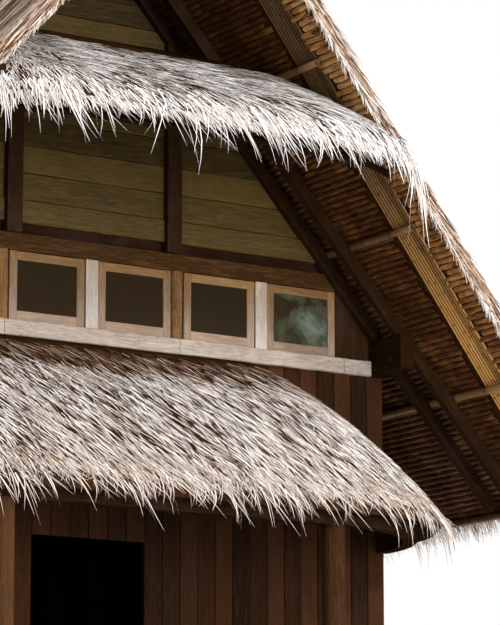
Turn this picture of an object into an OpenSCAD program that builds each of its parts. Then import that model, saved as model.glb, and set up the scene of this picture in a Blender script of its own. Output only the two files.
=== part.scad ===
// Stilt house with a steep thatched roof, thatched gable hoods and thatched
// skirt roofs with round ends over the two verandas.
// X runs across the house, Y from the front gable to the back one, Z up.
// The origin is on the ground, under the middle of the house.

/* [Plan] */
// Length between the outer faces of the two gable walls
house_len = 6000; // [5200:100:7600]
// Width between the outer faces of the two side walls
house_w = 5000; // [4700:20:5400]
// Reach of each veranda floor past its eave beam's middle
veranda_lip = 110; // [90:5:160]

/* [Levels] */
// Height of the main floor above the ground
floor_z = 2200; // [1800:50:2800]
// Height of the window sills above the main floor
sill_rise = 3480; // [3400:20:3800]
// Drop from the window sills to the attic floor
attic_drop = 350; // [300:10:420]

/* [Stilts and floor] */
// Side of each square footing stone
footing_w = 380; // [300:10:460]
// Height of the footing stones
footing_h = 140; // [100:10:240]
// Diameter of the round posts
post_d = 160; // [130:5:180]
// Depth of the girders that carry the floor
girder_h = 160; // [120:10:200]
// Width of the girders
girder_w = 90; // [70:5:120]
// Depth of the floor joists
joist_h = 120; // [90:10:160]
// Width of the floor joists
joist_w = 60; // [45:5:80]
// Thickness of the floor boards
deck_t = 30; // [20:2:40]

/* [Walls] */
// Thickness of the wall boards
wall_t = 30; // [20:2:40]
// Width of the doorways
door_w = 900; // [750:10:1100]
// Height of the doorways
door_h = 2000; // [1850:10:2150]

/* [Windows] */
// Windows in each gable wall
windows = 6; // [6:2:8]
// Width of the gable wall outside the outer windows' spacing
window_margin = 370; // [340:5:400]
// Gap between a sash and the posts beside it
sash_gap = 6; // [3:1:10]
// Height of a window sash
sash_h = 500; // [440:5:520]
// Width of the sash stiles and of the top rail
stile_w = 62; // [45:1:75]
// Height of the bottom rail
bottom_rail = 72; // [55:1:90]
// Thickness of the sashes
sash_t = 45; // [35:1:55]
// Thickness of the window panes
pane_t = 5; // [3:1:8]
// Width of the log posts and of the plank posts between the sashes
window_post_w = 98; // [80:2:100]
// Depth of the plank posts from front to back
plank_d = 80; // [60:2:90]
// Height of the sill board
sill_h = 113; // [90:1:140]
// Depth of the sill board from front to back
sill_d = 110; // [90:2:130]
// How far the sill board stands out from the wall
sill_out = 40; // [20:2:60]
// Height of the header beam over the sashes
header_h = 120; // [100:5:140]
// Depth of the header beam from front to back
header_d = 100; // [80:2:120]
// Height of the set-back strip over the header
frieze_h = 80; // [60:5:110]

/* [Main roof] */
// Pitch of the main roof in degrees
roof_pitch = 48.5; // [46:0.5:50]
// Height of the rafters over the sills at the side walls' outer faces
plate_rise = 20; // [0:5:60]
// Reach of the roof past each gable wall at the ridge
verge = 1680; // [1620:20:1740]
// Reach of the roof past each gable wall at the eaves
verge_low = 1080; // [1020:20:1140]
// Reach of the eaves past the side walls, level
eave_reach = 1180; // [1000:20:1240]
// Depth of the rafters
rafter_h = 90; // [80:2:110]
// Width of the rafters
rafter_w = 60; // [50:2:80]
// Distance from a gable wall out to its verge rafters
verge_rafter = 330; // [300:10:420]
// Rafter pairs between the gable walls
inner_pairs = 5; // [4:1:7]
// Diameter of the bamboo purlins
purlin_d = 55; // [45:1:65]
// Distance down the slope from the ridge to the first purlin
purlin_first = 1490; // [1450:5:1530]
// Spacing of the purlins down the slope
purlin_gap = 1390; // [1350:5:1410]
// How far inside the verges the purlins end
purlin_in = 230; // [200:10:260]
// Thickness of the split-bamboo slats
slat_t = 15; // [10:1:20]
// Width of one slat
slat_w = 22; // [18:1:24]
// Gap between the slats of a bundle
slat_gap = 10; // [6:1:12]
// Slats in each bundle
slats = 8; // [6:1:8]
// Distance from a gable wall out to the slat bundle at the ridge
slat_out = 1160; // [1100:10:1200]
// Thickness of the main thatch, square to the slope
thatch_t = 85; // [70:5:120]
// Spacing of the thatch courses down the slope
course_gap = 48; // [42:1:70]
// Depth of the step at each course
course_lip = 10; // [6:1:16]
// Diameter of the ridge pole
ridge_pole_d = 120; // [100:5:150]
// Thickness of the ridge cap
cap_t = 80; // [60:5:110]
// Reach of the ridge cap to each side, level
cap_reach = 420; // [320:10:520]

/* [Skirt roofs] */
// Level reach of a skirt roof's long curve
skirt_run = 1220; // [1180:5:1260]
// How far the long curve's round ends reach past the side walls
skirt_past = 46; // [0:2:100]
// Level reach of the steeper curve at its eave
skirt_nose = 180; // [140:5:220]
// Thickness of the skirt thatch at the wall
skirt_root = 150; // [120:5:180]
// Diameter of the bamboo rafters under the skirt and hood roofs
pole_d = 50; // [40:1:60]
// Width of the eave beams under the skirt roofs
eave_beam_w = 100; // [80:2:120]
// Depth of the eave beams
eave_beam_h = 120; // [100:2:140]
// How far an eave beam's middle lies inside the end of the long curve
eave_beam_in = 70; // [40:5:100]

/* [Gable hoods] */
// How far inside the side walls' outer faces a hood's round ends lie
hood_in = 0; // [0:5:40]
// Drop from the ridge of the rafters' undersides to a hood's root
hood_drop = 733; // [700:1:770]
// Level reach of a hood's long curve
hood_run = 1500; // [1440:5:1540]
// Level reach of the steeper curve at its eave
hood_nose = 200; // [180:5:220]
// Thickness of the hood thatch at the wall
hood_root = 150; // [120:5:180]

/* [Hidden] */
$fn = 48;
round_fn = 240;
eps = 1;
far = 20000;

// Slopes of the thatch curves in degrees: at the wall, where the eave curve
// starts, and at the eave
skirt_slopes = [28, 48, 56];
hood_slopes = [18, 33, 68];
// How far the eave's lower corner lies inside and under the curve's end
nose_in = 60;
nose_down = 60;

sill_z = floor_z + sill_rise;
attic_z = sill_z - attic_drop;
wall_y = house_len / 2;
wall_x = house_w / 2;
window_pitch = (house_w - 2 * window_margin) / windows;
sash_w = window_pitch - window_post_w - 2 * sash_gap;
skirt_axis = wall_x + skirt_past - skirt_run;
eave_beam_r = skirt_run - eave_beam_in;
veranda_reach = eave_beam_r + veranda_lip;
hood_axis = wall_x - hood_in - hood_run - hood_nose;
tan_p = tan(roof_pitch);
cos_p = cos(roof_pitch);
sin_p = sin(roof_pitch);

// The rafters' undersides meet at this height over the middle of the house
ridge_z = sill_z + plate_rise + wall_x * tan_p;
// Layers of the roof, square to the slope from the rafters' undersides
purlin_v = rafter_h;
slat_v = purlin_v + purlin_d;
thatch_v = slat_v + slat_t;
top_v = thatch_v + thatch_t;
eave_x = wall_x + eave_reach;
slope_len = (eave_x - thatch_v * sin_p) / cos_p;
roof_y = wall_y + verge;
rake = (verge - verge_low) / eave_x;

// Height of the layer v above the rafters' undersides, at x
function slope_z(x, v) = ridge_z + v / cos_p - abs(x) * tan_p;
// Half the width inside the layer v, at the height z
function slope_x(z, v) = (ridge_z + v / cos_p - z) / tan_p;
// Reach of the verges from the middle of the house, at x
function verge_y(x) = roof_y - rake * abs(x);

plate_w = 120;
plate_bottom = sill_z + plate_rise - plate_w;
header_z = sill_z + sash_h;
frieze_z = header_z + header_h;
gable_z = frieze_z + frieze_h;
frieze_lap = 60;
king_post_w = 120;
king_post_in = 60;
king_post_t = 60;
fit_gap = 5;
veranda_inset = 46;

joist_z = floor_z - deck_t - joist_h;
girder_z = joist_z - girder_h;
attic_joist_h = 100;
attic_joist_z = attic_z - deck_t - attic_joist_h;

corner_x = wall_x - wall_t - post_d / 2;
corner_y = wall_y - wall_t - post_d / 2;
inner_x = window_pitch;
king_post_x = inner_x - king_post_in;
veranda_x = skirt_axis - veranda_inset;
veranda_y = wall_y + eave_beam_r;
// Joists and attic beams lie against the posts
joist_off = (post_d + joist_w) / 2;
girder_off = (post_d + girder_w) / 2;

// Points of a falling curve from slope a0 to slope a1 over a level run
function bow(start, a0, a1, run, steps) =
    let (r = run / (sin(a1) - sin(a0)))
    [for (i = [0 : steps])
        let (s = sin(a0) + (sin(a1) - sin(a0)) * i / steps)
        [start[0] + r * (s - sin(a0)), start[1] - r * (cos(a0) - sqrt(1 - s * s))]];

// Upper outline of a skirt or hood, from the wall to the eave's lower corner
function crown(run, nose, slopes) =
    let (long = bow([0, 0], slopes[0], slopes[1], run, 10),
         short = bow(long[10], slopes[1], slopes[2], nose, 4))
    concat(long, [for (i = [1 : 4]) short[i]],
           [[short[4][0] - nose_in, short[4][1] - nose_down]]);

function outline(run, nose, slopes, root) =
    concat(crown(run, nose, slopes), [[0, -root]]);

// Slope in degrees of the straight underside, from the wall to the eave
function under_slope(run, nose, slopes, root) =
    let (points = crown(run, nose, slopes), corner = points[len(points) - 1])
    atan((-corner[1] - root) / corner[0]);

skirt_outline = outline(skirt_run, skirt_nose, skirt_slopes, skirt_root);
skirt_under = under_slope(skirt_run, skirt_nose, skirt_slopes, skirt_root);
skirt_z = sill_z - sill_h;
hood_outline = outline(hood_run, hood_nose, hood_slopes, hood_root);
hood_under = under_slope(hood_run, hood_nose, hood_slopes, hood_root);
hood_y = wall_y + rafter_w;
hood_z = ridge_z - hood_drop;
hood_pole_in = 220;
hood_pole_r = hood_run + hood_nose - hood_pole_in;
ledger_h = 120;
hood_pole_d = 50;
hood_bays = 3;
skirt_bays = 5;
skirt_turns = [27, 54, 80];
pole_clear = 200;
plate_past = 50;
ridge_pole_in = 60;
rafter_inset = 160;
slat_start = 60;
header_out = 20;
plank_out = 10;
pole_centre_z = ridge_z - ridge_pole_d / 2 / cos_p;

// Height of the eave beams' undersides, which the veranda posts carry
eave_beam_z = skirt_z - skirt_root - (eave_beam_r + eave_beam_w / 2) * tan(skirt_under)
    - pole_d / cos(skirt_under) - eave_beam_h;
// Height of the hood poles' undersides where they leave the wall
hood_pole_z = hood_z - hood_root - pole_d / cos(hood_under);

// Plan of the main roof, whose verges draw in from the ridge to the eaves
module within_verges() {
    side = 2 * eave_x;
    intersection() {
        children();
        linear_extrude(far)
            polygon([[0, -roof_y], [side, -verge_y(side)], [side, verge_y(side)],
                     [0, roof_y], [-side, verge_y(side)], [-side, -verge_y(side)]]);
    }
}

// The back of the house repeats the front
module at_back() { rotate([0, 0, 180]) children(); }
module at_both_ends() { children(); at_back() children(); }
module at_both_sides() { children(); mirror([1, 0, 0]) children(); }

// A slab of the front gable wall, with an outline in X and Z
module gable_slab(points, depth_in, thickness) {
    translate([0, -wall_y + depth_in + thickness, 0])
        rotate([90, 0, 0]) linear_extrude(thickness) polygon(points);
}

// A bar along Y with an outline in X and Z
module long_bar(points, length) {
    translate([0, length / 2, 0]) rotate([90, 0, 0]) linear_extrude(length) polygon(points);
}

// Frame of the right slope: X runs down it from the ridge, Z stands square to it
module on_right_slope() {
    translate([0, 0, ridge_z]) rotate([0, roof_pitch, 0]) children();
}

// A strip down the right slope, mitred at the ridge, between the layers v0 and v1
module slope_strip(v0, v1, length, y, width) {
    on_right_slope() translate([0, y + width / 2, 0]) rotate([90, 0, 0])
        linear_extrude(width)
            polygon([[-v0 * tan_p, v0], [-v1 * tan_p, v1], [length, v1], [length, v0]]);
}

// The straight part of a skirt or hood, with an outline in reach and height
module straight_run(points, axis, y, z) {
    translate([axis, -y, z]) rotate([90, 0, -90]) linear_extrude(2 * axis) polygon(points);
}

// Its two round ends, turned about upright axes
module round_ends(points, axis, y, z, angle = 90) {
    at_both_sides() translate([axis, -y, z]) rotate([0, 0, -90])
        rotate_extrude(angle = angle, $fn = round_fn) polygon(points);
}

// A bamboo pole that runs out and down from the gable wall, turned by an angle
module falling_pole(x, y, z, slope, turn, start, reach) {
    translate([x, -y, z]) rotate([0, 0, turn]) translate([0, -start, -start * tan(slope)])
        rotate([90 + slope, 0, 0]) cylinder(d = pole_d, h = (reach - start) / cos(slope), $fn = 24);
}

module post(x, y, z0, z1) {
    translate([x, y, z0]) cylinder(d = post_d, h = z1 - z0);
}

module footing(x, y) {
    translate([x - footing_w / 2, y - footing_w / 2, 0]) cube([footing_w, footing_w, footing_h]);
}

module footings() {
    color("darkgray") {
        for (x = [-corner_x, -inner_x, inner_x, corner_x], y = [-corner_y, 0, corner_y]) footing(x, y);
        for (x = [-veranda_x, veranda_x], y = [-veranda_y, veranda_y]) footing(x, y);
    }
}

module corner_posts() {
    color("saddlebrown") for (x = [-corner_x, corner_x], y = [-corner_y, 0, corner_y])
        post(x, y, footing_h, plate_bottom);
}

module gable_wall_posts() {
    color("saddlebrown") for (x = [-inner_x, inner_x], y = [-corner_y, corner_y])
        post(x, y, footing_h, skirt_z);
}

module middle_stilts() {
    color("saddlebrown") for (x = [-inner_x, inner_x]) post(x, 0, footing_h, floor_z - deck_t);
}

module veranda_posts() {
    color("saddlebrown") for (x = [-veranda_x, veranda_x], y = [-veranda_y, veranda_y])
        post(x, y, footing_h, eave_beam_z);
}

// Girders run across the house against the posts, and carry the joists
module floor_girders() {
    inside = wall_x - wall_t;
    color("sienna") for (side = [-1, 1]) {
        for (row = [girder_off, corner_y - girder_off])
            translate([-inside, side * row - girder_w / 2, girder_z]) cube([2 * inside, girder_w, girder_h]);
        translate([-skirt_axis - post_d, side * (veranda_y - girder_off) - girder_w / 2, girder_z])
            cube([2 * (skirt_axis + post_d), girder_w, girder_h]);
    }
}

// Outline of the floor: the house, and a veranda with round ends at each gable
module floor_outline(inset) {
    square([2 * (wall_x - inset), 2 * wall_y], center = true);
    intersection() {
        square([2 * (wall_x - inset), 2 * (wall_y + veranda_reach)], center = true);
        for (y = [-wall_y, wall_y]) {
            translate([0, y]) square([2 * skirt_axis, 2 * (veranda_reach - inset)], center = true);
            for (x = [-skirt_axis, skirt_axis])
                translate([x, y]) circle(r = veranda_reach - inset, $fn = 96);
        }
    }
}

module floor_joists() {
    rows = [0, inner_x - joist_off, inner_x + joist_off, veranda_x + joist_off,
            (veranda_x + corner_x) / 2, corner_x - joist_off];
    color("sienna") intersection() {
        for (x = rows, side = [-1, 1])
            translate([side * x - joist_w / 2, -far / 2, joist_z]) cube([joist_w, far, joist_h]);
        translate([0, 0, joist_z - eps]) linear_extrude(joist_h + 2 * eps) floor_outline(wall_t);
    }
}

// Round clearances where the posts pass through a floor
module post_holes(z, with_veranda) {
    spots = concat(
        [for (x = [-corner_x, corner_x], y = [-corner_y, 0, corner_y]) [x, y]],
        [for (x = [-inner_x, inner_x], y = [-corner_y, corner_y]) [x, y]],
        [for (x = [-veranda_x, veranda_x], y = [-veranda_y, veranda_y]) if (with_veranda) [x, y]]);
    for (s = spots) translate([s[0], s[1], z - eps])
        cylinder(d = post_d + 2 * fit_gap, h = deck_t + 2 * eps);
}

module floor_deck() {
    color("peru") difference() {
        translate([0, 0, floor_z - deck_t]) linear_extrude(deck_t) floor_outline(0);
        post_holes(floor_z - deck_t, true);
    }
}

module gable_wall_sides() {
    at_both_sides() gable_slab([[door_w / 2, floor_z], [wall_x, floor_z],
                                [wall_x, skirt_z], [door_w / 2, skirt_z]], 0, wall_t);
}

module gable_wall_over_door() {
    gable_slab([[-door_w / 2, floor_z + door_h], [door_w / 2, floor_z + door_h],
                [door_w / 2, skirt_z], [-door_w / 2, skirt_z]], 0, wall_t);
}

module front_wall() { color("sienna") gable_wall_sides(); }
module front_wall_over_door() { color("sienna") gable_wall_over_door(); }
module back_wall() { color("sienna") at_back() gable_wall_sides(); }
module back_wall_over_door() { color("sienna") at_back() gable_wall_over_door(); }

module side_wall() {
    inside = wall_y - wall_t;
    translate([wall_x - wall_t, -inside, floor_z]) cube([wall_t, 2 * inside, plate_bottom - floor_z]);
}

module left_wall() { color("sienna") mirror([1, 0, 0]) side_wall(); }
module right_wall() { color("sienna") side_wall(); }

// The plates' tops are bevelled to the slope, so that the rafters lie flat on them
module wall_plates() {
    inner = wall_x - plate_w;
    color("saddlebrown") at_both_sides()
        long_bar([[inner, plate_bottom], [wall_x, plate_bottom],
                  [wall_x, slope_z(wall_x, 0)], [inner, slope_z(inner, 0)]],
                 2 * (wall_y + verge_rafter + rafter_w / 2 + plate_past));
}

module attic_joists() {
    inside = wall_x - wall_t;
    middle = corner_y / 2;
    color("sienna") for (side = [-1, 1], row = [joist_off, middle, corner_y - joist_off])
        translate([-inside, side * row - joist_w / 2, attic_joist_z])
            cube([2 * inside, joist_w, attic_joist_h]);
}

module attic_floor() {
    notch = post_d / 2 + fit_gap;
    color("peru") difference() {
        translate([0, 0, attic_z - deck_t / 2])
            cube([2 * (wall_x - wall_t), 2 * (wall_y - wall_t), deck_t], center = true);
        post_holes(attic_z - deck_t, false);
        for (x = [-1, 1], y = [-1, 1])
            translate([x * (corner_x + notch), y * (corner_y + notch), attic_z - deck_t / 2])
                cube([4 * notch, 4 * notch, 2 * deck_t], center = true);
    }
}

module sill_boards() {
    half = wall_x - plate_w - fit_gap;
    color("linen") at_both_ends()
        gable_slab([[-half, skirt_z], [half, skirt_z], [half, sill_z], [-half, sill_z]], -sill_out, sill_d);
}

// The header ends under the slope of the gable rafters
module header_beams() {
    low = slope_x(header_z, -fit_gap);
    high = slope_x(frieze_z, -fit_gap);
    color("saddlebrown") at_both_ends()
        gable_slab([[-low, header_z], [low, header_z], [high, frieze_z], [-high, frieze_z]],
                   -header_out, header_d);
}

// Log posts and plank posts take turns between the windows, a plank in the middle
between_windows = [for (i = [1 - windows / 2 : windows / 2 - 1]) i];

module window_logs() {
    color("chocolate") at_both_ends() for (i = between_windows) if (i % 2 != 0)
        translate([i * window_pitch, -wall_y + window_post_w / 4, sill_z])
            cylinder(d = window_post_w, h = sash_h);
}

module window_planks() {
    color("linen") at_both_ends() for (i = between_windows) if (i % 2 == 0)
        translate([i * window_pitch - window_post_w / 2, -wall_y - plank_out, sill_z])
            cube([window_post_w, plank_d, sash_h]);
}

window_xs = [for (i = [0 : windows - 1]) (i + 0.5 - windows / 2) * window_pitch];

// The opening of a sash, between its stiles and rails
module sash_opening(x) {
    translate([x - sash_w / 2 + stile_w, sill_z + bottom_rail])
        square([sash_w - 2 * stile_w, sash_h - stile_w - bottom_rail]);
}

module sashes() {
    translate([0, -wall_y + sash_t, 0]) rotate([90, 0, 0]) linear_extrude(sash_t)
        for (x = window_xs) difference() {
            translate([x - sash_w / 2, sill_z]) square([sash_w, sash_h]);
            sash_opening(x);
        }
}

module panes() {
    translate([0, -wall_y + (sash_t + pane_t) / 2, 0]) rotate([90, 0, 0]) linear_extrude(pane_t)
        for (x = window_xs) sash_opening(x);
}

module front_sashes() { color("burlywood") sashes(); }
module back_sashes() { color("burlywood") at_back() sashes(); }
module front_panes() { color("darkslategray", 0.6) panes(); }
module back_panes() { color("darkslategray", 0.6) at_back() panes(); }

// Half the width of the gable boards at a height, short of the purlins
function board_x(z) = slope_x(z, purlin_v - fit_gap);

module ridge_pole_gap() {
    translate([0, 0, pole_centre_z]) rotate([90, 0, 0])
        cylinder(d = ridge_pole_d + 2 * fit_gap, h = far, center = true);
}

// The strip over the header is set back behind the boards above it
module friezes() {
    top = gable_z + frieze_lap;
    color("maroon") at_both_ends()
        gable_slab([[-board_x(frieze_z), frieze_z], [board_x(frieze_z), frieze_z],
                    [board_x(top), top], [-board_x(top), top]], wall_t, wall_t);
}

module gable_boards() {
    difference() {
        gable_slab([[-board_x(gable_z), gable_z], [board_x(gable_z), gable_z],
                    [0, slope_z(0, purlin_v - fit_gap)]], 0, wall_t);
        ridge_pole_gap();
    }
}

module front_gable_boards() { color("peru") gable_boards(); }
module back_gable_boards() { color("peru") at_back() gable_boards(); }

// The boards that close the wall between the outer windows and the slopes
module gable_cheeks() {
    inner = (windows - 1) / 2 * window_pitch + sash_w / 2 + fit_gap;
    outer = wall_x - plate_w - fit_gap;
    color("saddlebrown") at_both_ends() at_both_sides()
        gable_slab([[inner, sill_z], [outer, sill_z], [outer, slope_z(outer, purlin_v - fit_gap)],
                    [board_x(header_z), header_z], [inner, header_z]], 0, wall_t);
}

module king_posts() {
    inner = king_post_x - king_post_w / 2;
    outer = king_post_x + king_post_w / 2;
    color("saddlebrown") at_both_ends() at_both_sides()
        gable_slab([[inner, frieze_z], [outer, frieze_z],
                    [outer, slope_z(outer, 0)], [inner, slope_z(inner, 0)]], -king_post_t, king_post_t);
}

module ridge_pole() {
    color("saddlebrown") translate([0, 0, pole_centre_z]) rotate([90, 0, 0])
        cylinder(d = ridge_pole_d, h = 2 * (roof_y - ridge_pole_in), center = true);
}

module right_slope_rafters() {
    inner = [for (i = [0 : inner_pairs - 1]) (i + 1) / (inner_pairs + 1) * 2 * wall_y - wall_y];
    outer = [wall_y + rafter_w / 2, wall_y + verge_rafter];
    rows = concat(inner, outer, -outer);
    for (y = rows) slope_strip(0, rafter_h, slope_len - rafter_inset, y, rafter_w);
}

module left_rafters() { color("sienna") mirror([1, 0, 0]) right_slope_rafters(); }
module right_rafters() { color("sienna") right_slope_rafters(); }

// Bamboo purlins run from one slat bundle to the other, the lowest one close to the eave
module purlins() {
    rows = concat([for (i = [0 : 2]) purlin_first + i * purlin_gap], [slope_len - purlin_d]);
    middle_v = purlin_v + purlin_d / 2;
    color("goldenrod") at_both_sides() on_right_slope() for (u = rows)
        translate([u, 0, middle_v]) rotate([90, 0, 0])
            cylinder(d = purlin_d, h = 2 * (verge_y(u * cos_p + middle_v * sin_p) - purlin_in),
                     center = true, $fn = 32);
}

// Bundles of split-bamboo slats run down the slopes outside the gable walls,
// side by side with the verges
module slat_bundles() {
    step = slat_w + slat_gap;
    turn = atan(rake * cos_p);
    color("goldenrod") at_both_ends() at_both_sides() for (i = [0 : slats - 1])
        on_right_slope() translate([slat_start, -wall_y - slat_out - i * step - slat_w, slat_v])
            rotate([0, 0, turn]) cube([(slope_len - slat_start) / cos(turn) - slat_w, slat_w, slat_t]);
}

// The thatch is laid in courses, which show as steps on its underside
module right_slope_thatch() {
    courses = floor(slope_len / course_gap);
    steps = [for (i = [courses : -1 : 1], k = [0, 1])
        [i * course_gap, thatch_v + (k == 0 ? course_lip : 0)]];
    within_verges() on_right_slope() rotate([90, 0, 0]) linear_extrude(far, center = true)
        polygon(concat([[-top_v * tan_p, top_v], [slope_len, top_v], [slope_len, thatch_v]],
                       steps, [[-thatch_v * tan_p, thatch_v]]));
}

module left_thatch() { color("tan") mirror([1, 0, 0]) right_slope_thatch(); }
module right_thatch() { color("tan") right_slope_thatch(); }

// The cap lies on both slopes and is round over the ridge
module ridge_cap() {
    round_r = 2 * cap_t;
    round_z = slope_z(0, top_v + cap_t) - round_r / cos_p;
    crest = [for (a = [-roof_pitch : roof_pitch / 6 : roof_pitch])
        [round_r * sin(a), round_z + round_r * cos(a)]];
    color("rosybrown") within_verges()
        long_bar(concat([[-cap_reach, slope_z(cap_reach, top_v)],
                         [-cap_reach, slope_z(cap_reach, top_v + cap_t)]], crest,
                        [[cap_reach, slope_z(cap_reach, top_v + cap_t)],
                         [cap_reach, slope_z(cap_reach, top_v)],
                         [0, slope_z(0, top_v)]]), far);
}

module skirt_poles() {
    z = skirt_z - skirt_root - pole_d / 2 / cos(skirt_under);
    reach = eave_beam_r + eave_beam_w;
    spacing = 2 * skirt_axis / skirt_bays;
    color("goldenrod") at_both_ends() intersection() {
        union() {
            for (i = [0 : skirt_bays])
                falling_pole(-skirt_axis + i * spacing, wall_y, z, skirt_under, 0, -pole_d, reach);
            for (turn = skirt_turns) at_both_sides()
                falling_pole(skirt_axis, wall_y, z, skirt_under, turn, pole_clear, reach);
        }
        translate([-far / 2, -wall_y - far, 0]) cube([far, far, far]);
    }
}

// The eave beams' tops are bevelled to lie under the poles
eave_beam_section = let (inner = eave_beam_r - eave_beam_w / 2, outer = eave_beam_r + eave_beam_w / 2)
    [[inner, 0], [outer, 0], [outer, eave_beam_h],
     [inner, eave_beam_h + eave_beam_w * tan(skirt_under)]];

module eave_beams() {
    color("saddlebrown") at_both_ends()
        straight_run(eave_beam_section, skirt_axis, wall_y, eave_beam_z);
}

module eave_beam_ends() {
    color("saddlebrown") at_both_ends()
        round_ends(eave_beam_section, skirt_axis, wall_y, eave_beam_z);
}

module front_skirt() { color("tan") straight_run(skirt_outline, skirt_axis, wall_y, skirt_z); }
module front_skirt_ends() { color("tan") round_ends(skirt_outline, skirt_axis, wall_y, skirt_z); }
module back_skirt() { color("tan") at_back() straight_run(skirt_outline, skirt_axis, wall_y, skirt_z); }
module back_skirt_ends() { color("tan") at_back() round_ends(skirt_outline, skirt_axis, wall_y, skirt_z); }

// Poles under each hood and the ledger that they leave from
module hood_poles() {
    ledger_x = king_post_x - king_post_w / 2;
    pole_x = ledger_x - pole_d;
    color("goldenrod") at_both_ends() {
        intersection() {
            for (i = [0 : hood_bays])
                falling_pole(-pole_x + i * 2 * pole_x / hood_bays, hood_y,
                             hood_pole_z + pole_d / 2 / cos(hood_under),
                             hood_under, 0, -2 * rafter_w, hood_pole_r + hood_pole_d);
            translate([-far / 2, -wall_y - far, 0]) cube([far, far, far]);
        }
        gable_slab([[-ledger_x, hood_pole_z - ledger_h], [ledger_x, hood_pole_z - ledger_h],
                    [ledger_x, hood_pole_z], [-ledger_x, hood_pole_z]], -rafter_w, rafter_w);
    }
}

// The pole at each hood's eave is bent round the ends, up to the slats
module hood_eave_poles() {
    z = hood_pole_z - hood_pole_r * tan(hood_under) - hood_pole_d / 2 / cos(hood_under);
    end_x = slope_x(z + hood_pole_d / 2, slat_v - fit_gap) - hood_pole_d / 2;
    turn = asin((end_x - hood_axis) / hood_pole_r);
    color("goldenrod") at_both_ends() {
        translate([0, -hood_y - hood_pole_r, z]) rotate([0, 90, 0])
            cylinder(d = hood_pole_d, h = 2 * hood_axis, center = true, $fn = 24);
        at_both_sides() translate([hood_axis, -hood_y, z]) rotate([0, 0, -90])
            rotate_extrude(angle = turn, $fn = round_fn)
                translate([hood_pole_r, 0]) circle(d = hood_pole_d, $fn = 24);
    }
}

// A hood reaches past the verges, and behind them it fits under the rafters
module hood() {
    cut_x = 2 * eave_x;
    difference() {
        union() {
            straight_run(hood_outline, hood_axis, hood_y, hood_z);
            round_ends(hood_outline, hood_axis, hood_y, hood_z);
        }
        within_verges() rotate([90, 0, 0]) linear_extrude(far)
            polygon([[0, slope_z(0, -fit_gap)], [cut_x, slope_z(cut_x, -fit_gap)], [cut_x, far],
                     [-cut_x, far], [-cut_x, slope_z(cut_x, -fit_gap)]]);
    }
}

module front_hood() { color("tan") hood(); }
module back_hood() { color("tan") at_back() hood(); }

footings();
corner_posts();
gable_wall_posts();
middle_stilts();
veranda_posts();
floor_girders();
floor_joists();
floor_deck();
front_wall();
front_wall_over_door();
back_wall();
back_wall_over_door();
left_wall();
right_wall();
wall_plates();
attic_joists();
attic_floor();
sill_boards();
header_beams();
window_logs();
window_planks();
front_sashes();
back_sashes();
front_panes();
back_panes();
friezes();
front_gable_boards();
back_gable_boards();
gable_cheeks();
king_posts();
ridge_pole();
left_rafters();
right_rafters();
purlins();
slat_bundles();
left_thatch();
right_thatch();
ridge_cap();
skirt_poles();
eave_beams();
eave_beam_ends();
front_skirt();
front_skirt_ends();
back_skirt();
back_skirt_ends();
hood_poles();
hood_eave_poles();
front_hood();
back_hood();
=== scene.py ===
"""Looks of the stilt house: boards, bamboo, bark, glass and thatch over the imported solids.

Lengths are in metres and angles in degrees. X runs across the house, Y from the front
gable to the back one and Z up. The back of the house repeats the front, with other straws.
"""
import math

import bpy
import numpy as np
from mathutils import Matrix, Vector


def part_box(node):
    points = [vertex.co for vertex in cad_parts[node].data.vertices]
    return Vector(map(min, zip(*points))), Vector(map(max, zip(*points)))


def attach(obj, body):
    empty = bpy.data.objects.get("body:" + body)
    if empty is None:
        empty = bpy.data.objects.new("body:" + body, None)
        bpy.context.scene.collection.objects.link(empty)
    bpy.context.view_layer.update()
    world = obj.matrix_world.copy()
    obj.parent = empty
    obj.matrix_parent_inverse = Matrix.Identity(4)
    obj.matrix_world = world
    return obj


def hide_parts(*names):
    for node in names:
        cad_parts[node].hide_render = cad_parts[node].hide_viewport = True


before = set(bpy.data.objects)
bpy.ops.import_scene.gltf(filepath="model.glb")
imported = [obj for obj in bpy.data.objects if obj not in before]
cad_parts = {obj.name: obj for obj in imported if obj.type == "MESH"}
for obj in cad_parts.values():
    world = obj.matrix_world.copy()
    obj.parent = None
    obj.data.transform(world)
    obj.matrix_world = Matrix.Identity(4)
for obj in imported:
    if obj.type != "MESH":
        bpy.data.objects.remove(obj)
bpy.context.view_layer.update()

# Places and sizes that the pieces share with the solids
WALL_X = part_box("right_wall")[1][0]
WALL_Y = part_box("back_wall")[1][1]
ROOF_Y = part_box("right_thatch")[1][1]
FLOOR_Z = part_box("floor_deck")[1][2]
SILL_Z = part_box("sill_boards")[1][2]
SKIRT_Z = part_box("front_skirt")[1][2]
SKIRT_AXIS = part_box("front_skirt")[1][0]
HOOD_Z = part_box("front_hood")[1][2]
WALL_T, DECK_T = 0.03, 0.03
POST_R = 0.08
FOOTING_H = 0.14
CORNER_X, CORNER_Y = WALL_X - WALL_T - POST_R, WALL_Y - WALL_T - POST_R
VERANDA_X, VERANDA_Y = (reach - POST_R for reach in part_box("veranda_posts")[1][:2])

PITCH = 48.5
TAN_P, COS_P, SIN_P = (f(math.radians(PITCH)) for f in (math.tan, math.cos, math.sin))
EAVE_REACH = 1.18
PLATE_RISE = 0.02
# How far the verges draw in for each metre of reach from the ridge
RAKE = 0.600 / (WALL_X + EAVE_REACH)
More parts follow.
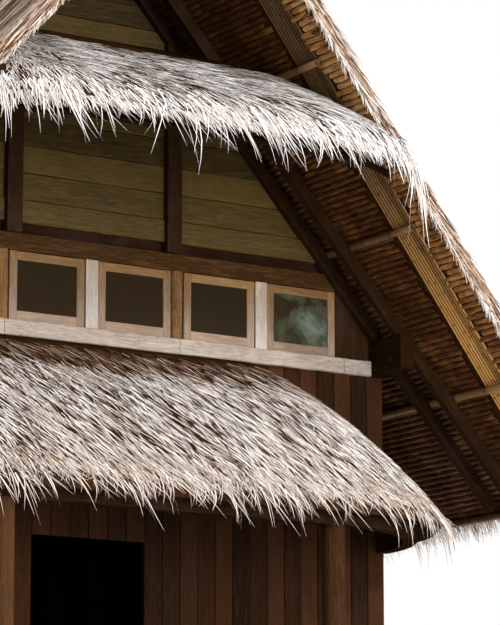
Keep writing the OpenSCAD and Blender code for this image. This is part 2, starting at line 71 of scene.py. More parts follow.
# The rafters' undersides meet at this height. The layers lie square to the slope from them
RIDGE_Z = SILL_Z + PLATE_RISE + WALL_X * TAN_P
PURLIN_V, SLAT_V, THATCH_V, TOP_V = 0.090, 0.145, 0.160, 0.245
SLOPE_LEN = (WALL_X + EAVE_REACH - THATCH_V * SIN_P) / COS_P
COURSE = 0.048
CAP_T, CAP_REACH = 0.08, 0.42
PURLIN_FIRST, PURLIN_GAP, PURLIN_IN = 1.49, 1.39, 0.23
PURLIN_R, CULM_R = 0.0275, 0.0265
SLATS, SLAT_OUT, SLAT_W, SLAT_STEP, SLAT_T = 8, 1.16, 0.022, 0.032, 0.015
BUNDLE_W = (SLATS - 1) * SLAT_STEP + SLAT_W
# Reach of the long curve and of the eave curve, and slopes, of the skirts and the hoods
SKIRT_CURVE = 1.22, 0.18, (28, 48, 56)
HOOD_CURVE = 1.50, 0.20, (18, 33, 68)
HOOD_AXIS = WALL_X - sum(HOOD_CURVE[:2])

WINDOW_PITCH = 0.71
WINDOWS = [(i + 0.5) * WINDOW_PITCH for i in range(-3, 3)]
SASH_W, SASH_H, SASH_T = 0.60, 0.50, 0.045
STILE, BOTTOM_RAIL = 0.062, 0.072
HEADER_H, FRIEZE_H = 0.12, 0.08
SILL_REACH, SILL_T, SILL_PROUD = 2.375, 0.11, 0.04
BARK_R, BARK_IN = 0.046, 0.0245
GABLE_Z = SILL_Z + SASH_H + HEADER_H + FRIEZE_H

# Camera and light
CAMERA_AT = (-10.481, -21.609, 1.501)
CAMERA_TURN = (101.4, 0, -32.4)
SENSOR = 36
FOCAL_PIXELS, PHOTO_HEIGHT = 3080, 625
AMBIENT = 0.68


def add_object(name, data):
    thing = bpy.data.objects.new(name, data)
    bpy.context.collection.objects.link(thing)
    return thing


def place_camera():
    data = bpy.data.cameras.new("camera")
    data.sensor_fit = "VERTICAL"
    data.sensor_height = SENSOR
    data.lens = FOCAL_PIXELS / PHOTO_HEIGHT * SENSOR
    data.clip_end = 200
    camera = add_object("camera", data)
    camera.location = CAMERA_AT
    camera.rotation_euler = [math.radians(a) for a in CAMERA_TURN]
    bpy.context.scene.camera = camera


def soft_lamp(name, at, towards, size, power, colour):
    data = bpy.data.lights.new(name, "AREA")
    data.shape = "DISK"
    data.size = size
    data.energy = power
    data.color = colour
    lamp = add_object(name, data)
    lamp.location = at
    aim = np.subtract(towards, at)
    lamp.rotation_euler = (math.atan2(math.hypot(aim[0], aim[1]), -aim[2]), 0,
                           math.atan2(aim[1], aim[0]) - math.pi / 2)


# Shader nodes
def feed(tree, node, inputs):
    """Joins other nodes' sockets to the inputs of a node, or sets the inputs to values."""
    for key, value in inputs.items():
        socket = node.inputs[key]
        if isinstance(value, bpy.types.NodeSocket):
            tree.links.new(value, socket)
        else:
            socket.default_value = (*value, 1) if socket.type == "RGBA" else value


def add(tree, kind, inputs=None, **settings):
    """A shader node with its settings. Each input is a value, or another node's socket."""
    node = tree.nodes.new(kind)
    for key, value in settings.items():
        setattr(node, key, value)
    feed(tree, node, inputs or {})
    return node


def placed(tree, group, inputs):
    """What a node group puts out, placed in a material with its own values."""
    return add(tree, "ShaderNodeGroup", inputs, node_tree=group).outputs


def maths(tree, operation, *values, kind="ShaderNodeMath"):
    return add(tree, kind, dict(enumerate(values)), operation=operation).outputs[0]


def vector_maths(tree, operation, *values):
    return maths(tree, operation, *values, kind="ShaderNodeVectorMath")


def moved(tree, tone, value, most):
    """A tone moved by a value from 0 to 1, by up to half of most each way."""
    return maths(tree, "MULTIPLY_ADD", maths(tree, "SUBTRACT", value, 0.5), most, tone)


def mask(tree, value, low, high, most=1.0):
    """A mask that grows from 0 to most while a value goes from low to high."""
    return add(tree, "ShaderNodeMapRange",
               {"Value": value, "From Min": low, "From Max": high, "To Max": most}).outputs[0]


def ramp(tree, factor, stops):
    """A colour ramp over stops of (place, colour)."""
    node = add(tree, "ShaderNodeValToRGB", {"Fac": factor})
    band = node.color_ramp.elements
    while len(band) < len(stops):
        band.new(0.5)
    for element, (place, colour) in zip(band, stops):
        element.position = place
        element.color = (*colour, 1)
    return node.outputs["Color"]


def mix(tree, factor, first, second):
    return add(tree, "ShaderNodeMix", {0: factor, 6: first, 7: second}, data_type="RGBA").outputs[2]


def noise(tree, vector, scale, detail, roughness=0.55, distortion=0):
    return add(tree, "ShaderNodeTexNoise",
               {"Vector": vector, "Scale": scale, "Detail": detail,
                "Roughness": roughness, "Distortion": distortion}).outputs["Fac"]


def place_vector(tree):
    return add(tree, "ShaderNodeTexCoord").outputs["Object"]


def part_of(tree, vector, axis):
    return add(tree, "ShaderNodeSeparateXYZ", {0: vector}).outputs[axis]


def mark(tree, name):
    """The value that a mesh carries under a name, such as the tint of each board."""
    return add(tree, "ShaderNodeAttribute", attribute_name=name).outputs["Fac"]


def slope_vector(side):
    """Coordinates turned so that X runs down a slope of the main roof."""
    return lambda tree: add(tree, "ShaderNodeVectorRotate",
                            {"Vector": place_vector(tree), "Angle": math.radians(-PITCH * side)},
                            rotation_type="Y_AXIS").outputs[0]


def along_each_bar(tree):
    """Coordinates in which X runs along every bar, upright or not."""
    at = add(tree, "ShaderNodeSeparateXYZ", {0: place_vector(tree)}).outputs
    turned = add(tree, "ShaderNodeCombineXYZ", {0: at[2], 1: at[1], 2: at[0]}).outputs[0]
    return add(tree, "ShaderNodeMix", {0: mark(tree, "upright"), 4: place_vector(tree), 5: turned},
               data_type="VECTOR").outputs[1]


# Effects that several materials share
def new_group(name, inputs):
    """An empty node group, and the sockets of what it is given.

    inputs gives each label a number, a vector, or None for a vector that is always joined."""
    tree = bpy.data.node_groups.new(name, "ShaderNodeTree")
    for label, default in inputs.items():
        kind = "NodeSocketFloat" if isinstance(default, float) else "NodeSocketVector"
        socket = tree.interface.new_socket(label, in_out="INPUT", socket_type=kind)
        if default is not None:
            socket.default_value = default
    return tree, tree.nodes.new("NodeGroupInput").outputs


def put_out(tree, **values):
    """The node group, with the values that it puts out."""
    for label in values:
        tree.interface.new_socket(label, in_out="OUTPUT", socket_type="NodeSocketFloat")
    feed(tree, tree.nodes.new("NodeGroupOutput"), values)
    return tree


def make_grain_group():
    """Wood fibres drawn out along the direction in which Stretch is small."""
    tree, given = new_group("wood grain", {"Vector": None, "Stretch": (4, 40, 40), "Seed": 0.0})
    shift = add(tree, "ShaderNodeCombineXYZ", {i: given["Seed"] for i in range(3)}).outputs[0]
    drawn = vector_maths(tree, "MULTIPLY", vector_maths(tree, "ADD", given["Vector"], shift),
                         given["Stretch"])
    fine = noise(tree, drawn, 4, 3, 0.6)
    broad = noise(tree, drawn, 0.7, 4, 0.55, 0.6)
    rings = maths(tree, "SINE", maths(tree, "MULTIPLY", broad, 34))
    fibre = maths(tree, "MULTIPLY_ADD", fine, 0.7, maths(tree, "MULTIPLY", broad, 0.3))
    return put_out(tree, Fibre=fibre, Figure=maths(tree, "MULTIPLY_ADD", rings, 0.5, 0.5))


def make_stain_group():
    """Cloudy stains and small dark spots, as damp and dust leave them."""
    tree, given = new_group("stains", {"Vector": None, "Cloud Scale": 2.5, "Spot Scale": 45.0})
    specks = noise(tree, given["Vector"], given["Spot Scale"], 2, 0.5)
    return put_out(tree, Cloud=noise(tree, given["Vector"], given["Cloud Scale"], 5, 0.6),
                   Spots=mask(tree, specks, 0.66, 0.74))


def make_fade_group():
    """A mask that grows from one height to another, with an edge as ragged as the clouds."""
    tree, given = new_group("fade by height", {"Vector": None, "Cloud": 0.5, "Ragged": 0.16,
                                               "From": 0.0, "To": 1.0, "Most": 1.0})
    uneven = maths(tree, "MULTIPLY_ADD", given["Cloud"], given["Ragged"],
                   part_of(tree, given["Vector"], "Z"))
    low, high = (maths(tree, "MULTIPLY_ADD", given["Ragged"], 0.5, given[end])
                 for end in ("From", "To"))
    return put_out(tree, Mask=mask(tree, uneven, low, high, given["Most"]))


# What sets the noise of the mottle group: of its clouds first, and then of its flecks
MOTTLE_INPUTS = [f"{kind} {size}" for kind in ("Broad", "Fine")
                 for size in ("Scale", "Detail", "Roughness")]


def make_mottle_group():
    """Clouds with finer flecks in them, and one tone of both."""
    tree, given = new_group("mottle", {"Vector": None, "Fine Share": 0.35,
                                       **dict.fromkeys(MOTTLE_INPUTS, 1.0)})
    sizes = [given[label] for label in MOTTLE_INPUTS]
    cloud, fleck = (noise(tree, given["Vector"], *own) for own in (sizes[:3], sizes[3:]))
    rest = maths(tree, "MULTIPLY", cloud, maths(tree, "SUBTRACT", 1.0, given["Fine Share"]))
    return put_out(tree, Cloud=cloud,
                   Tone=maths(tree, "MULTIPLY_ADD", fleck, given["Fine Share"], rest))


def make_straw_group():
    """The tone of straw: its own tint, with clouds of darker weathering."""
    tree, given = new_group("straw tone", {"Vector": None, "Tint": 0.5, "Weather": 0.3})
    tone = moved(tree, given["Tint"], noise(tree, given["Vector"], 2.2, 5, 0.65), given["Weather"])
    return put_out(tree, Tone=moved(tree, tone, noise(tree, given["Vector"], 38, 2, 0.5), 0.25))


GRAIN, STAINS, FADE = make_grain_group(), make_stain_group(), make_fade_group()
MOTTLE, STRAW = make_mottle_group(), make_straw_group()


# Materials
def new_material(name):
    material = bpy.data.materials.new(name)
    material.use_nodes = True
    return material, material.node_tree


def finish(material, colour, roughness, height, strength, distance, gloss=0.5):
    """The material, with its colour, roughness and gloss, and a bump from a height."""
    tree = material.node_tree
    bump = add(tree, "ShaderNodeBump",
               {"Height": height, "Strength": strength, "Distance": distance}).outputs[0]
    feed(tree, tree.nodes["Principled BSDF"], {"Base Color": colour, "Roughness": roughness,
                                               "Normal": bump, "Specular IOR Level": gloss})
    return material


def between(first, second, share):
    return tuple((1 - share) * a + share * b for a, b in zip(first, second))


def darker(colour, share):
    return tuple(share * c for c in colour)


# Directions of the grain, as the stretch of its coordinates
ALONG = {"x": (3, 42, 42), "y": (42, 3, 42), "z": (42, 42, 3)}


def timber(name, dark, light, along="x", roughness=0.62, stain=(0.05, 0.03, 0.02), stained=0.5,
           vector=place_vector, spots=0.0, gloss=0.12, vary=0.7, shaded_top=None):
    """Weathered timber from a dark and a light tone, with its grain along one direction.

    A mesh's tint shifts the tone of each board, by up to half of vary. shaded_top is a range of
    heights with two more tones: painted shade darkens the timber towards the first height, under the
    header, and it takes the two paler tones at the second."""
    material, tree = new_material(name)
    tint = mark(tree, "tint")
    grain = placed(tree, GRAIN, {"Vector": vector(tree), "Stretch": ALONG[along],
                                 "Seed": maths(tree, "MULTIPLY", tint, 7)})
    stains = placed(tree, STAINS, {"Vector": place_vector(tree)})
    tone = maths(tree, "MULTIPLY_ADD", grain["Fibre"], 1.5, -0.35)
    tone = moved(tree, maths(tree, "MULTIPLY_ADD", grain["Figure"], 0.16, tone), tint, vary)

    def wood(dull, bright):
        return ramp(tree, tone, [(0.1, dull), (0.5, between(dull, bright, 0.45)), (0.95, bright)])

    colour = wood(dark, light)
    # Painted shade: the timber is darker towards the top, under the header, and paler lower down.
    if shaded_top:
        high, low, dull, pale = shaded_top
        worn = placed(tree, FADE, {"Vector": place_vector(tree), "Cloud": stains["Cloud"],
                                   "From": high, "To": low})["Mask"]
        colour = mix(tree, worn, colour, wood(dull, pale))
    colour = mix(tree, mask(tree, stains["Cloud"], 0.48, 0.72, stained), colour, stain)
    if spots:
        colour = mix(tree, maths(tree, "MULTIPLY", stains["Spots"], spots), colour, stain)
    rough = maths(tree, "MULTIPLY_ADD", grain["Fibre"], 0.25, roughness - 0.12)
    return finish(material, colour, rough, tone, 0.35, 0.004, gloss)


STRAW_PALE = [(0.0, (0.026, 0.009, 0.003)), (0.22, (0.135, 0.052, 0.015)),
              (0.45, (0.42, 0.262, 0.158)), (0.7, (0.66, 0.592, 0.545)), (1.0, (0.95, 0.895, 0.86))]
STRAW_GREY = [(0.0, (0.030, 0.014, 0.008)), (0.22, (0.12, 0.060, 0.030)),
              (0.45, (0.42, 0.305, 0.235)), (0.7, (0.69, 0.635, 0.605)), (1.0, (0.85, 0.84, 0.845))]
LEAF_BROWN = [(0.0, (0.035, 0.010, 0.002)), (0.3, (0.11, 0.040, 0.009)),
              (0.6, (0.32, 0.145, 0.040)), (1.0, (0.70, 0.42, 0.20))]
# Tones of the thatch bed, painted dark as the shade deep among the straws
BED_STRAW = [(0.3, (0.012, 0.005, 0.002)), (0.55, (0.034, 0.015, 0.005)), (0.8, (0.10, 0.05, 0.02))]
BED_LEAF = [(0.3, (0.016, 0.007, 0.003)), (0.55, (0.055, 0.024, 0.009)), (0.8, (0.14, 0.06, 0.02))]
GREY_STONE = [(0.3, (0.16, 0.15, 0.13)), (0.55, (0.34, 0.32, 0.29)), (0.8, (0.52, 0.50, 0.46))]
# Glass tones: dark as painted shade of the room behind, and pale where there is dust
ROOM_SHADE_AND_DUST = [(0.40, (0.034, 0.026, 0.012)), (0.52, (0.085, 0.095, 0.062)),
               (0.70, (0.26, 0.32, 0.29))]
OLIVE_SCREEN = [(0.36, (0.020, 0.009, 0.003)), (0.5, (0.022, 0.011, 0.004)),
                (0.7, (0.016, 0.012, 0.003))]


def straw_material(name, stops, weather):
    material, tree = new_material(name)
    at = place_vector(tree)
    given = {"Vector": at, "Tint": mark(tree, "tint"), "Weather": weather}
    colour = ramp(tree, placed(tree, STRAW, given)["Tone"], stops)
    return finish(material, colour, 0.7, noise(tree, at, 260, 2), 0.25, 0.002, 0.25)


def leaf_material():
    """Folded leaf, streaked along the rolls, with dark flecks and paler worn places."""
    material, tree = new_material("brown leaf")
    at = place_vector(tree)
    streak = noise(tree, vector_maths(tree, "MULTIPLY", at, (1.0, 0.11, 1.0)), 90, 3, 0.6)
    tone = moved(tree, mark(tree, "tint"), streak, 1.0)
    tone = moved(tree, tone, noise(tree, at, 5, 5, 0.65), 1.0)
    return finish(material, ramp(tree, tone, LEAF_BROWN), 0.6, streak, 0.5, 0.004, 0.2)


def mottled(tree, broad, fine, share):
    """The mottle group, with the scale, detail and roughness of its clouds and its flecks."""
    return placed(tree, MOTTLE, {"Vector": place_vector(tree), "Fine Share": share,
                                 **dict(zip(MOTTLE_INPUTS, broad + fine))})


def thatch_bed():
    """What shows between the straws, painted dark as the shade deep among them: old straw above, and
    brown leaf beneath.
    """
    material, tree = new_material("thatch bed")
    facing = part_of(tree, add(tree, "ShaderNodeNewGeometry").outputs["Normal"], "Z")
    tone = mottled(tree, (9, 6, 0.7), (90, 4, 0.7), 0.6)["Tone"]
    colour = mix(tree, mask(tree, facing, -0.3, 0.2), ramp(tree, tone, BED_LEAF),
                 ramp(tree, tone, BED_STRAW))
    return finish(material, colour, 0.85, tone, 0.8, 0.02, 0.0)


def bamboo_material(name, dark, light, roughness=0.42, shaded_above=None):
    """Bamboo skin, with darker bands where the band attribute marks the joints.

    shaded_above is a range of heights over which it darkens, as painted shade under the hood, and the
    share by which it does."""
    material, tree = new_material(name)
    mottle = mottled(tree, (7, 5, 0.65), (70, 3, 0.6), 0.35)
    tone = moved(tree, mottle["Tone"], mark(tree, "tint"), 0.7)
    colour = ramp(tree, tone, [(0.25, dark), (0.75, light)])
    joints = maths(tree, "MULTIPLY", mark(tree, "band"), 0.85)
    colour = mix(tree, joints, colour, darker(dark, 0.35))
    # Painted shade: the bamboo darkens higher up, where the hood shades it.
    if shaded_above:
        low, high, most = shaded_above
        high_shade = placed(tree, FADE, {"Vector": place_vector(tree), "Cloud": mottle["Cloud"],
                                   "Ragged": 0.5, "From": low, "To": high, "Most": most})["Mask"]
        colour = mix(tree, high_shade, colour, darker(dark, 0.3))
    return finish(material, colour, roughness, tone, 0.2, 0.003, 0.5 * (1 - roughness))


def stone_material():
    material, tree = new_material("footing stone")
    tone = mottled(tree, (11, 8, 0.65), (140, 3, 0.6), 0.4)["Tone"]
    return finish(material, ramp(tree, tone, GREY_STONE), 0.9, tone, 0.7, 0.012)


def glass_material():
    """Window glass painted dark as the shade of the room behind it, with a pale film of dust that is
    thicker in clouds.
    """
    material, tree = new_material("window glass")
    at = place_vector(tree)
    dust = noise(tree, at, 3.4, 5, 0.6, 0.4)
    rough = maths(tree, "MULTIPLY", dust, 0.16)
    feed(tree, tree.nodes["Principled BSDF"], {"Transmission Weight": 0.25, "IOR": 1.5})
    colour = ramp(tree, dust, ROOM_SHADE_AND_DUST)
    return finish(material, colour, rough, noise(tree, at, 2.5, 2), 0.02, 0.01)


def screen_material():
    """Woven insect screen, brown with an olive cast, with a fine square weave."""
    material, tree = new_material("insect screen")
    at = place_vector(tree)
    across, up = (maths(tree, "SINE", maths(tree, "MULTIPLY", part_of(tree, at, axis), 900))
                  for axis in "XZ")
    weave = maths(tree, "MAXIMUM", across, up)
    tone = maths(tree, "MULTIPLY_ADD", weave, 0.12, noise(tree, at, 1.4, 4))
    return finish(material, ramp(tree, tone, OLIVE_SCREEN), 0.8, weave, 0.3, 0.001, 0.12)


# Meshes from arrays
def new_mesh(points, faces, smooth=False, **marks):
    """A mesh from points and arrays of faces, each array with its own corner count."""
    mesh = bpy.data.meshes.new("mesh")
    points = np.asarray(points, np.float32).reshape(-1, 3)
    sizes = np.concatenate([np.full(len(f), f.shape[1]) for f in faces])
    corners = np.concatenate([f.ravel() for f in faces]).astype(np.int32)
    mesh.vertices.add(len(points))
    mesh.vertices.foreach_set("co", points.ravel())
    mesh.loops.add(len(corners))
    mesh.loops.foreach_set("vertex_index", corners)
    mesh.polygons.add(len(sizes))
    starts = np.concatenate([[0], np.cumsum(sizes)[:-1]]).astype(np.int32)
    mesh.polygons.foreach_set("loop_start", starts)
    mesh.update(calc_edges=True)
    for label, values in marks.items():
        values = np.asarray(values, np.float32).ravel()
        mesh.attributes.new(label, "FLOAT", "POINT").data.foreach_set("value", values)
    mesh.polygons.foreach_set("use_smooth", np.full(len(sizes), smooth))
    return mesh


def piece(name, mesh, material, slot, *nodes):
    """A piece that rides on the house, and stands for the nodes named."""
    mesh.name = name
    mesh.materials.append(material)
    made = add_object(name, mesh)
    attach(made, "root")
    if nodes:
        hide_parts(*nodes)


def sweep_faces(items, rings, sides):
    """Faces round items of rings by sides points, with their ends closed."""
    start = np.arange(items)[:, None, None] * rings * sides
    ring = np.arange(rings - 1)[None, :, None] * sides
    side = np.arange(sides)[None, None, :]
    here = start + ring + side
    there = start + ring + (side + 1) % sides
    quads = np.stack([here, there, there + sides, here + sides], -1).reshape(-1, 4)
    ends = np.arange(items)[:, None] * rings * sides
    first = ends + np.arange(sides)[None, ::-1]
    last = ends + (rings - 1) * sides + np.arange(sides)[None, :]
    return [quads, np.concatenate([first, last])]


def swept_mesh(groups, smooth, **marks):
    """One mesh of several groups of rings. Each mark is a list with an array for each group."""
    faces, at = [], 0
    for group in groups:
        items, rings, sides = group.shape[:3]
        faces += [f + at for f in sweep_faces(items, rings, sides)]
        at += items * rings * sides
    return new_mesh(np.concatenate([g.reshape(-1, 3) for g in groups]), faces, smooth,
                    **{label: np.concatenate([v.ravel() for v in values])
                       for label, values in marks.items()})


def chamfered(width, depth, chamfer):
    """Corners of a chamfered rectangle, anticlockwise about its middle."""
    w, d, c = width / 2, depth / 2, chamfer
    return np.array([(w - c, -d), (w, -d + c), (w, d - c), (w - c, d),
                     (c - w, d), (-w, d - c), (-w, c - d), (c - w, -d)])


def bars(starts, ends, width, depth, across, rng, chamfer, rings, waver=0.0015):
    """Points of straight boards or beams with chamfered edges and a slight waver.

    width lies along the direction across, and depth square to it."""
    starts, ends = np.atleast_2d(starts).astype(float), np.atleast_2d(ends).astype(float)
    count = len(starts)
    width, depth = np.broadcast_to(width, count), np.broadcast_to(depth, count)
    along = ends - starts
    along /= np.linalg.norm(along, axis=1, keepdims=True)
    across = np.broadcast_to(across, (count, 3))
    deep = np.cross(along, across)
    s = np.linspace(0, 1, rings)[None, :, None]
    middle = starts[:, None, :] * (1 - s) + ends[:, None, :] * s
    section = np.stack([chamfered(w, d, chamfer) for w, d in zip(width, depth)])
    flat = section[:, None, :, :] + rng.normal(0, waver, (count, rings, 1, 2))
    return (middle[:, :, None, :] + flat[..., :1] * across[:, None, None, :]
            + flat[..., 1:] * deep[:, None, None, :])


def bar_mesh(groups, rng, smooth=False):
    """One mesh of several groups of bars, each bar with its own tint, and marked if upright."""
    tints, uprights = [], []
    for group in groups:
        items, rings, sides = group.shape[:3]
        run = np.abs(group[:, -1].mean(1) - group[:, 0].mean(1))
        uprights.append(np.repeat(run[:, 2] > run[:, 0], rings * sides))
        tints.append(np.repeat(rng.uniform(0, 1, items), rings * sides))
    return swept_mesh(groups, smooth, tint=tints, upright=uprights)


def at_both_gables(label, groups, rng, material, slot, node):
    """A piece of bars at the front gable and, turned about, another at the back one."""
    for name, turn in (("front", 1), ("back", -1)):
        turned = [g * np.array([turn, turn, 1]) for g in groups]
        piece(f"{name}_{label}", bar_mesh(turned, rng), material, slot, f"{name}_{node}")


def around(sides):
    """Angles of the corners of a round shape."""
    return np.linspace(0, 2 * np.pi, sides, endpoint=False)


def round_shape(x, y, z, size):
    """Rings of points about an upright line, at the heights z and with the radii in size."""
    turn = around(size.shape[1])
    return np.stack([x + size * np.cos(turn), y + size * np.sin(turn),
                     np.broadcast_to(z, size.shape)], -1)[None]


def culm_stations(length, internode, hollow):
    """Places along a bamboo pole, its radius factors there, and the bands at its joints."""
    rows = [(0, 0.97, 0)]
    for j in np.arange(internode * 0.6, length - 0.05, internode):
        rows += [(j - 0.014, 0.99, 0), (j - 0.004, 1.09, 0.5), (j, 0.98, 1),
                 (j + 0.005, 1.07, 0.5), (j + 0.018, 1.0, 0)]
    rows.append((length, 0.97, 0))
    if hollow:
        rows = ([(0.07, 0.70, 1), (0.0, 0.74, 0.3)] + rows
                + [(length, 0.74, 0.3), (length - 0.07, 0.70, 1)])
    return np.array(rows)


def culm(start, end, radius, sides, rng, internode):
    """A hollow bamboo pole, as (points, tints, bands)."""
    length = np.linalg.norm(end - start)
    rows = culm_stations(length, internode, True)
    along = (end - start) / length
    side = np.cross(along, np.array([0.0, 0.0, 1.0]))
    side /= np.linalg.norm(side)
    deep = np.cross(side, along)
    turn = around(sides)[:, None]
    centre = start + rows[:, None, :1] * along
    points = centre + radius * rows[:, None, 1:2] * (np.cos(turn) * side + np.sin(turn) * deep)
    return banded(points, rng.uniform(0, 1), rows)


def banded(points, tint, rows):
    """Rings of points with one tint, and with the bands of their stations."""
    shape = (1,) + points.shape[:2]
    return points[None], np.full(shape, tint), np.broadcast_to(rows[None, :, 2, None], shape)


def culm_mesh(groups):
    points, tints, bands = zip(*groups)
    return swept_mesh(points, True, tint=tints, band=bands)


# Thatch
def hang_down(reach, height, angles, fall):
    """Carries a curve on past its eave, where the straws hang, ever steeper."""
    for angle in angles:
        reach.append(reach[-1] + 0.05 * math.cos(math.radians(angle)))
        height.append(height[-1] - 0.05 * math.sin(math.radians(angle)))
    return np.array(reach + [reach[-1] + 0.01]), np.array(height + [height[-1] - fall])


def crown_curve(run, nose, slopes):
    """Reach and height down the top of a skirt or hood and past its eave, and the eave's place."""
    reach, height = [0.0], [0.0]

    def arc(a0, a1, level, steps):
        r = level / (math.sin(a1) - math.sin(a0))
        x0, z0 = reach[-1], height[-1]
        for i in range(1, steps + 1):
            s = math.sin(a0) + (math.sin(a1) - math.sin(a0)) * i / steps
            reach.append(x0 + r * (s - math.sin(a0)))
            height.append(z0 - r * (math.cos(a0) - math.sqrt(1 - s * s)))

    a = [math.radians(v) for v in slopes]
    arc(a[0], a[1], run, 24)
    arc(a[1], a[2], nose, 12)
    eave = len(reach) - 1
    return *hang_down(reach, height, (slopes[2] + 5, slopes[2] + 11, 78, 83, 87), 0.6), eave


def slope_curve(v):
    """The same down one slope of the main roof, at the layer v."""
    x0, z0 = v * SIN_P, RIDGE_Z + v * COS_P
    start = -v * TAN_P
    reach = [x0 + start * COS_P, x0 + SLOPE_LEN * COS_P]
    height = [z0 - start * SIN_P, z0 - SLOPE_LEN * SIN_P]
    return *hang_down(reach, height, (56, 68, 80, 88), 0.5), 1


def cap_curve():
    """The same over one half of the ridge cap, and on down past its edge."""
    top = TOP_V + CAP_T
    r = 2 * CAP_T
    z = RIDGE_Z + top / COS_P - r / COS_P
    angles = np.radians(np.linspace(0, PITCH, 7))
    edge = RIDGE_Z + top / COS_P - CAP_REACH * TAN_P
    reach = [*(r * np.sin(angles)), CAP_REACH, 0.47, 0.50, 0.51]
    height = [*(z + r * np.cos(angles)), edge, edge - 0.06, edge - 0.14, edge - 0.3]
    return np.array(reach), np.array(height), len(angles)


class Roof:
    """A thatched surface: a curve of reach and height, swept along a line and round its ends.

    u runs along the eave, t down the curve from its root. turn swings the whole surface
    round the middle of the house: 0 faces the front gable, 90 the right side. rake draws
    straight ends in, by that much for each unit of reach."""

    def __init__(self, curve, z, offset, axis, turn, round_ends=True, rake=0.0):
        self.reach, self.height, eave = curve
        steps = np.hypot(np.diff(self.reach), np.diff(self.height))
        self.run = np.concatenate([[0], np.cumsum(steps)])
        self.eave = self.run[eave]
        self.eave_reach = self.reach[eave]
        self.z, self.offset, self.axis, self.rake = z, offset, axis, rake
        self.half = axis + (math.pi / 2 * self.eave_reach if round_ends else 0)
        self.turn = math.radians(turn)

    def at(self, u, t, lift, aside):
        """Points at u along the eave and t down the curve, lifted off it and moved aside.

        With them come the directions along the eave and out of the surface."""
        r = np.interp(t, self.run, self.reach)
        z = np.interp(t, self.run, self.height)
        dr, dz = (np.interp(t + 0.02, self.run, line) - np.interp(t - 0.02, self.run, line)
                  for line in (self.reach, self.height))
        size = np.hypot(dr, dz) + 1e-9
        nr, nz = -dz / size, dr / size
        middle = np.clip(u, -self.axis, self.axis)
        phi = (u - middle) / self.eave_reach
        out = np.stack([np.sin(phi), -np.cos(phi), np.zeros_like(phi)], -1)
        over = np.stack([np.cos(phi), np.sin(phi), np.zeros_like(phi)], -1)
        along = middle * (1 - self.rake * r / self.axis)
        base = np.stack([along, np.full_like(along, -self.offset), np.full_like(along, self.z)], -1)
        up = np.array([0.0, 0.0, 1.0])
        points = (base + out * (r + nr * lift)[..., None] + up * (z + nz * lift)[..., None]
                  + over * aside[..., None])
        normal = out * nr[..., None] + up * nz[..., None]
        return self.swing(points), self.swing(over), self.swing(normal)

    def swing(self, vectors):
        c, s = math.cos(self.turn), math.sin(self.turn)
        x, y = vectors[..., 0], vectors[..., 1]
        return np.stack([x * c - y * s, x * s + y * c, vectors[..., 2]], -1)


def ripples(rng, count=7, longest=0.9, shortest=0.06):
    """A smooth random field over (u, t), from about -1 to 1, drawn out down the slope."""
    size = np.geomspace(longest, shortest, count)
    way = rng.uniform(0, 2 * np.pi, count)
    phase = rng.uniform(0, 2 * np.pi, count)
    weight = size ** 0.35
    weight /= np.sqrt((weight ** 2).sum() / 2)

    def field(u, t):
        total = np.zeros(np.broadcast(u, t).shape)
        for long, share, angle, start in zip(size, weight, way, phase):
            run = u * np.cos(angle) + 0.3 * t * np.sin(angle)
            total += share * np.sin(2 * np.pi / long * run + start)
        return total * 0.6
    return field


def combed(roof, u, most):
    """The angle by which straws are combed aside, in degrees. It fades out round the ends."""
    return most * np.clip(1 - (np.abs(u) - roof.axis) / (0.6 * roof.eave_reach), 0, 1)


def ribbons(roof, rng, place, aside, tilt, taper, width):
    """Flat straws along points of a roof, tilted about their length and narrowed by a taper.

    place is how far each point lies along the eave, down the curve and off the surface."""
    u, t, lift = place
    points, over, normal = roof.at(np.broadcast_to(u[:, None], t.shape), t, lift, aside)
    tilt = np.radians(rng.normal(*tilt, len(points)))[:, None, None]
    across = over * np.cos(tilt) + normal * np.sin(tilt)
    half = across * taper[None, :, None] * rng.uniform(*width, len(points))[:, None, None] / 2
    return np.stack([points - half, points + half], 2)


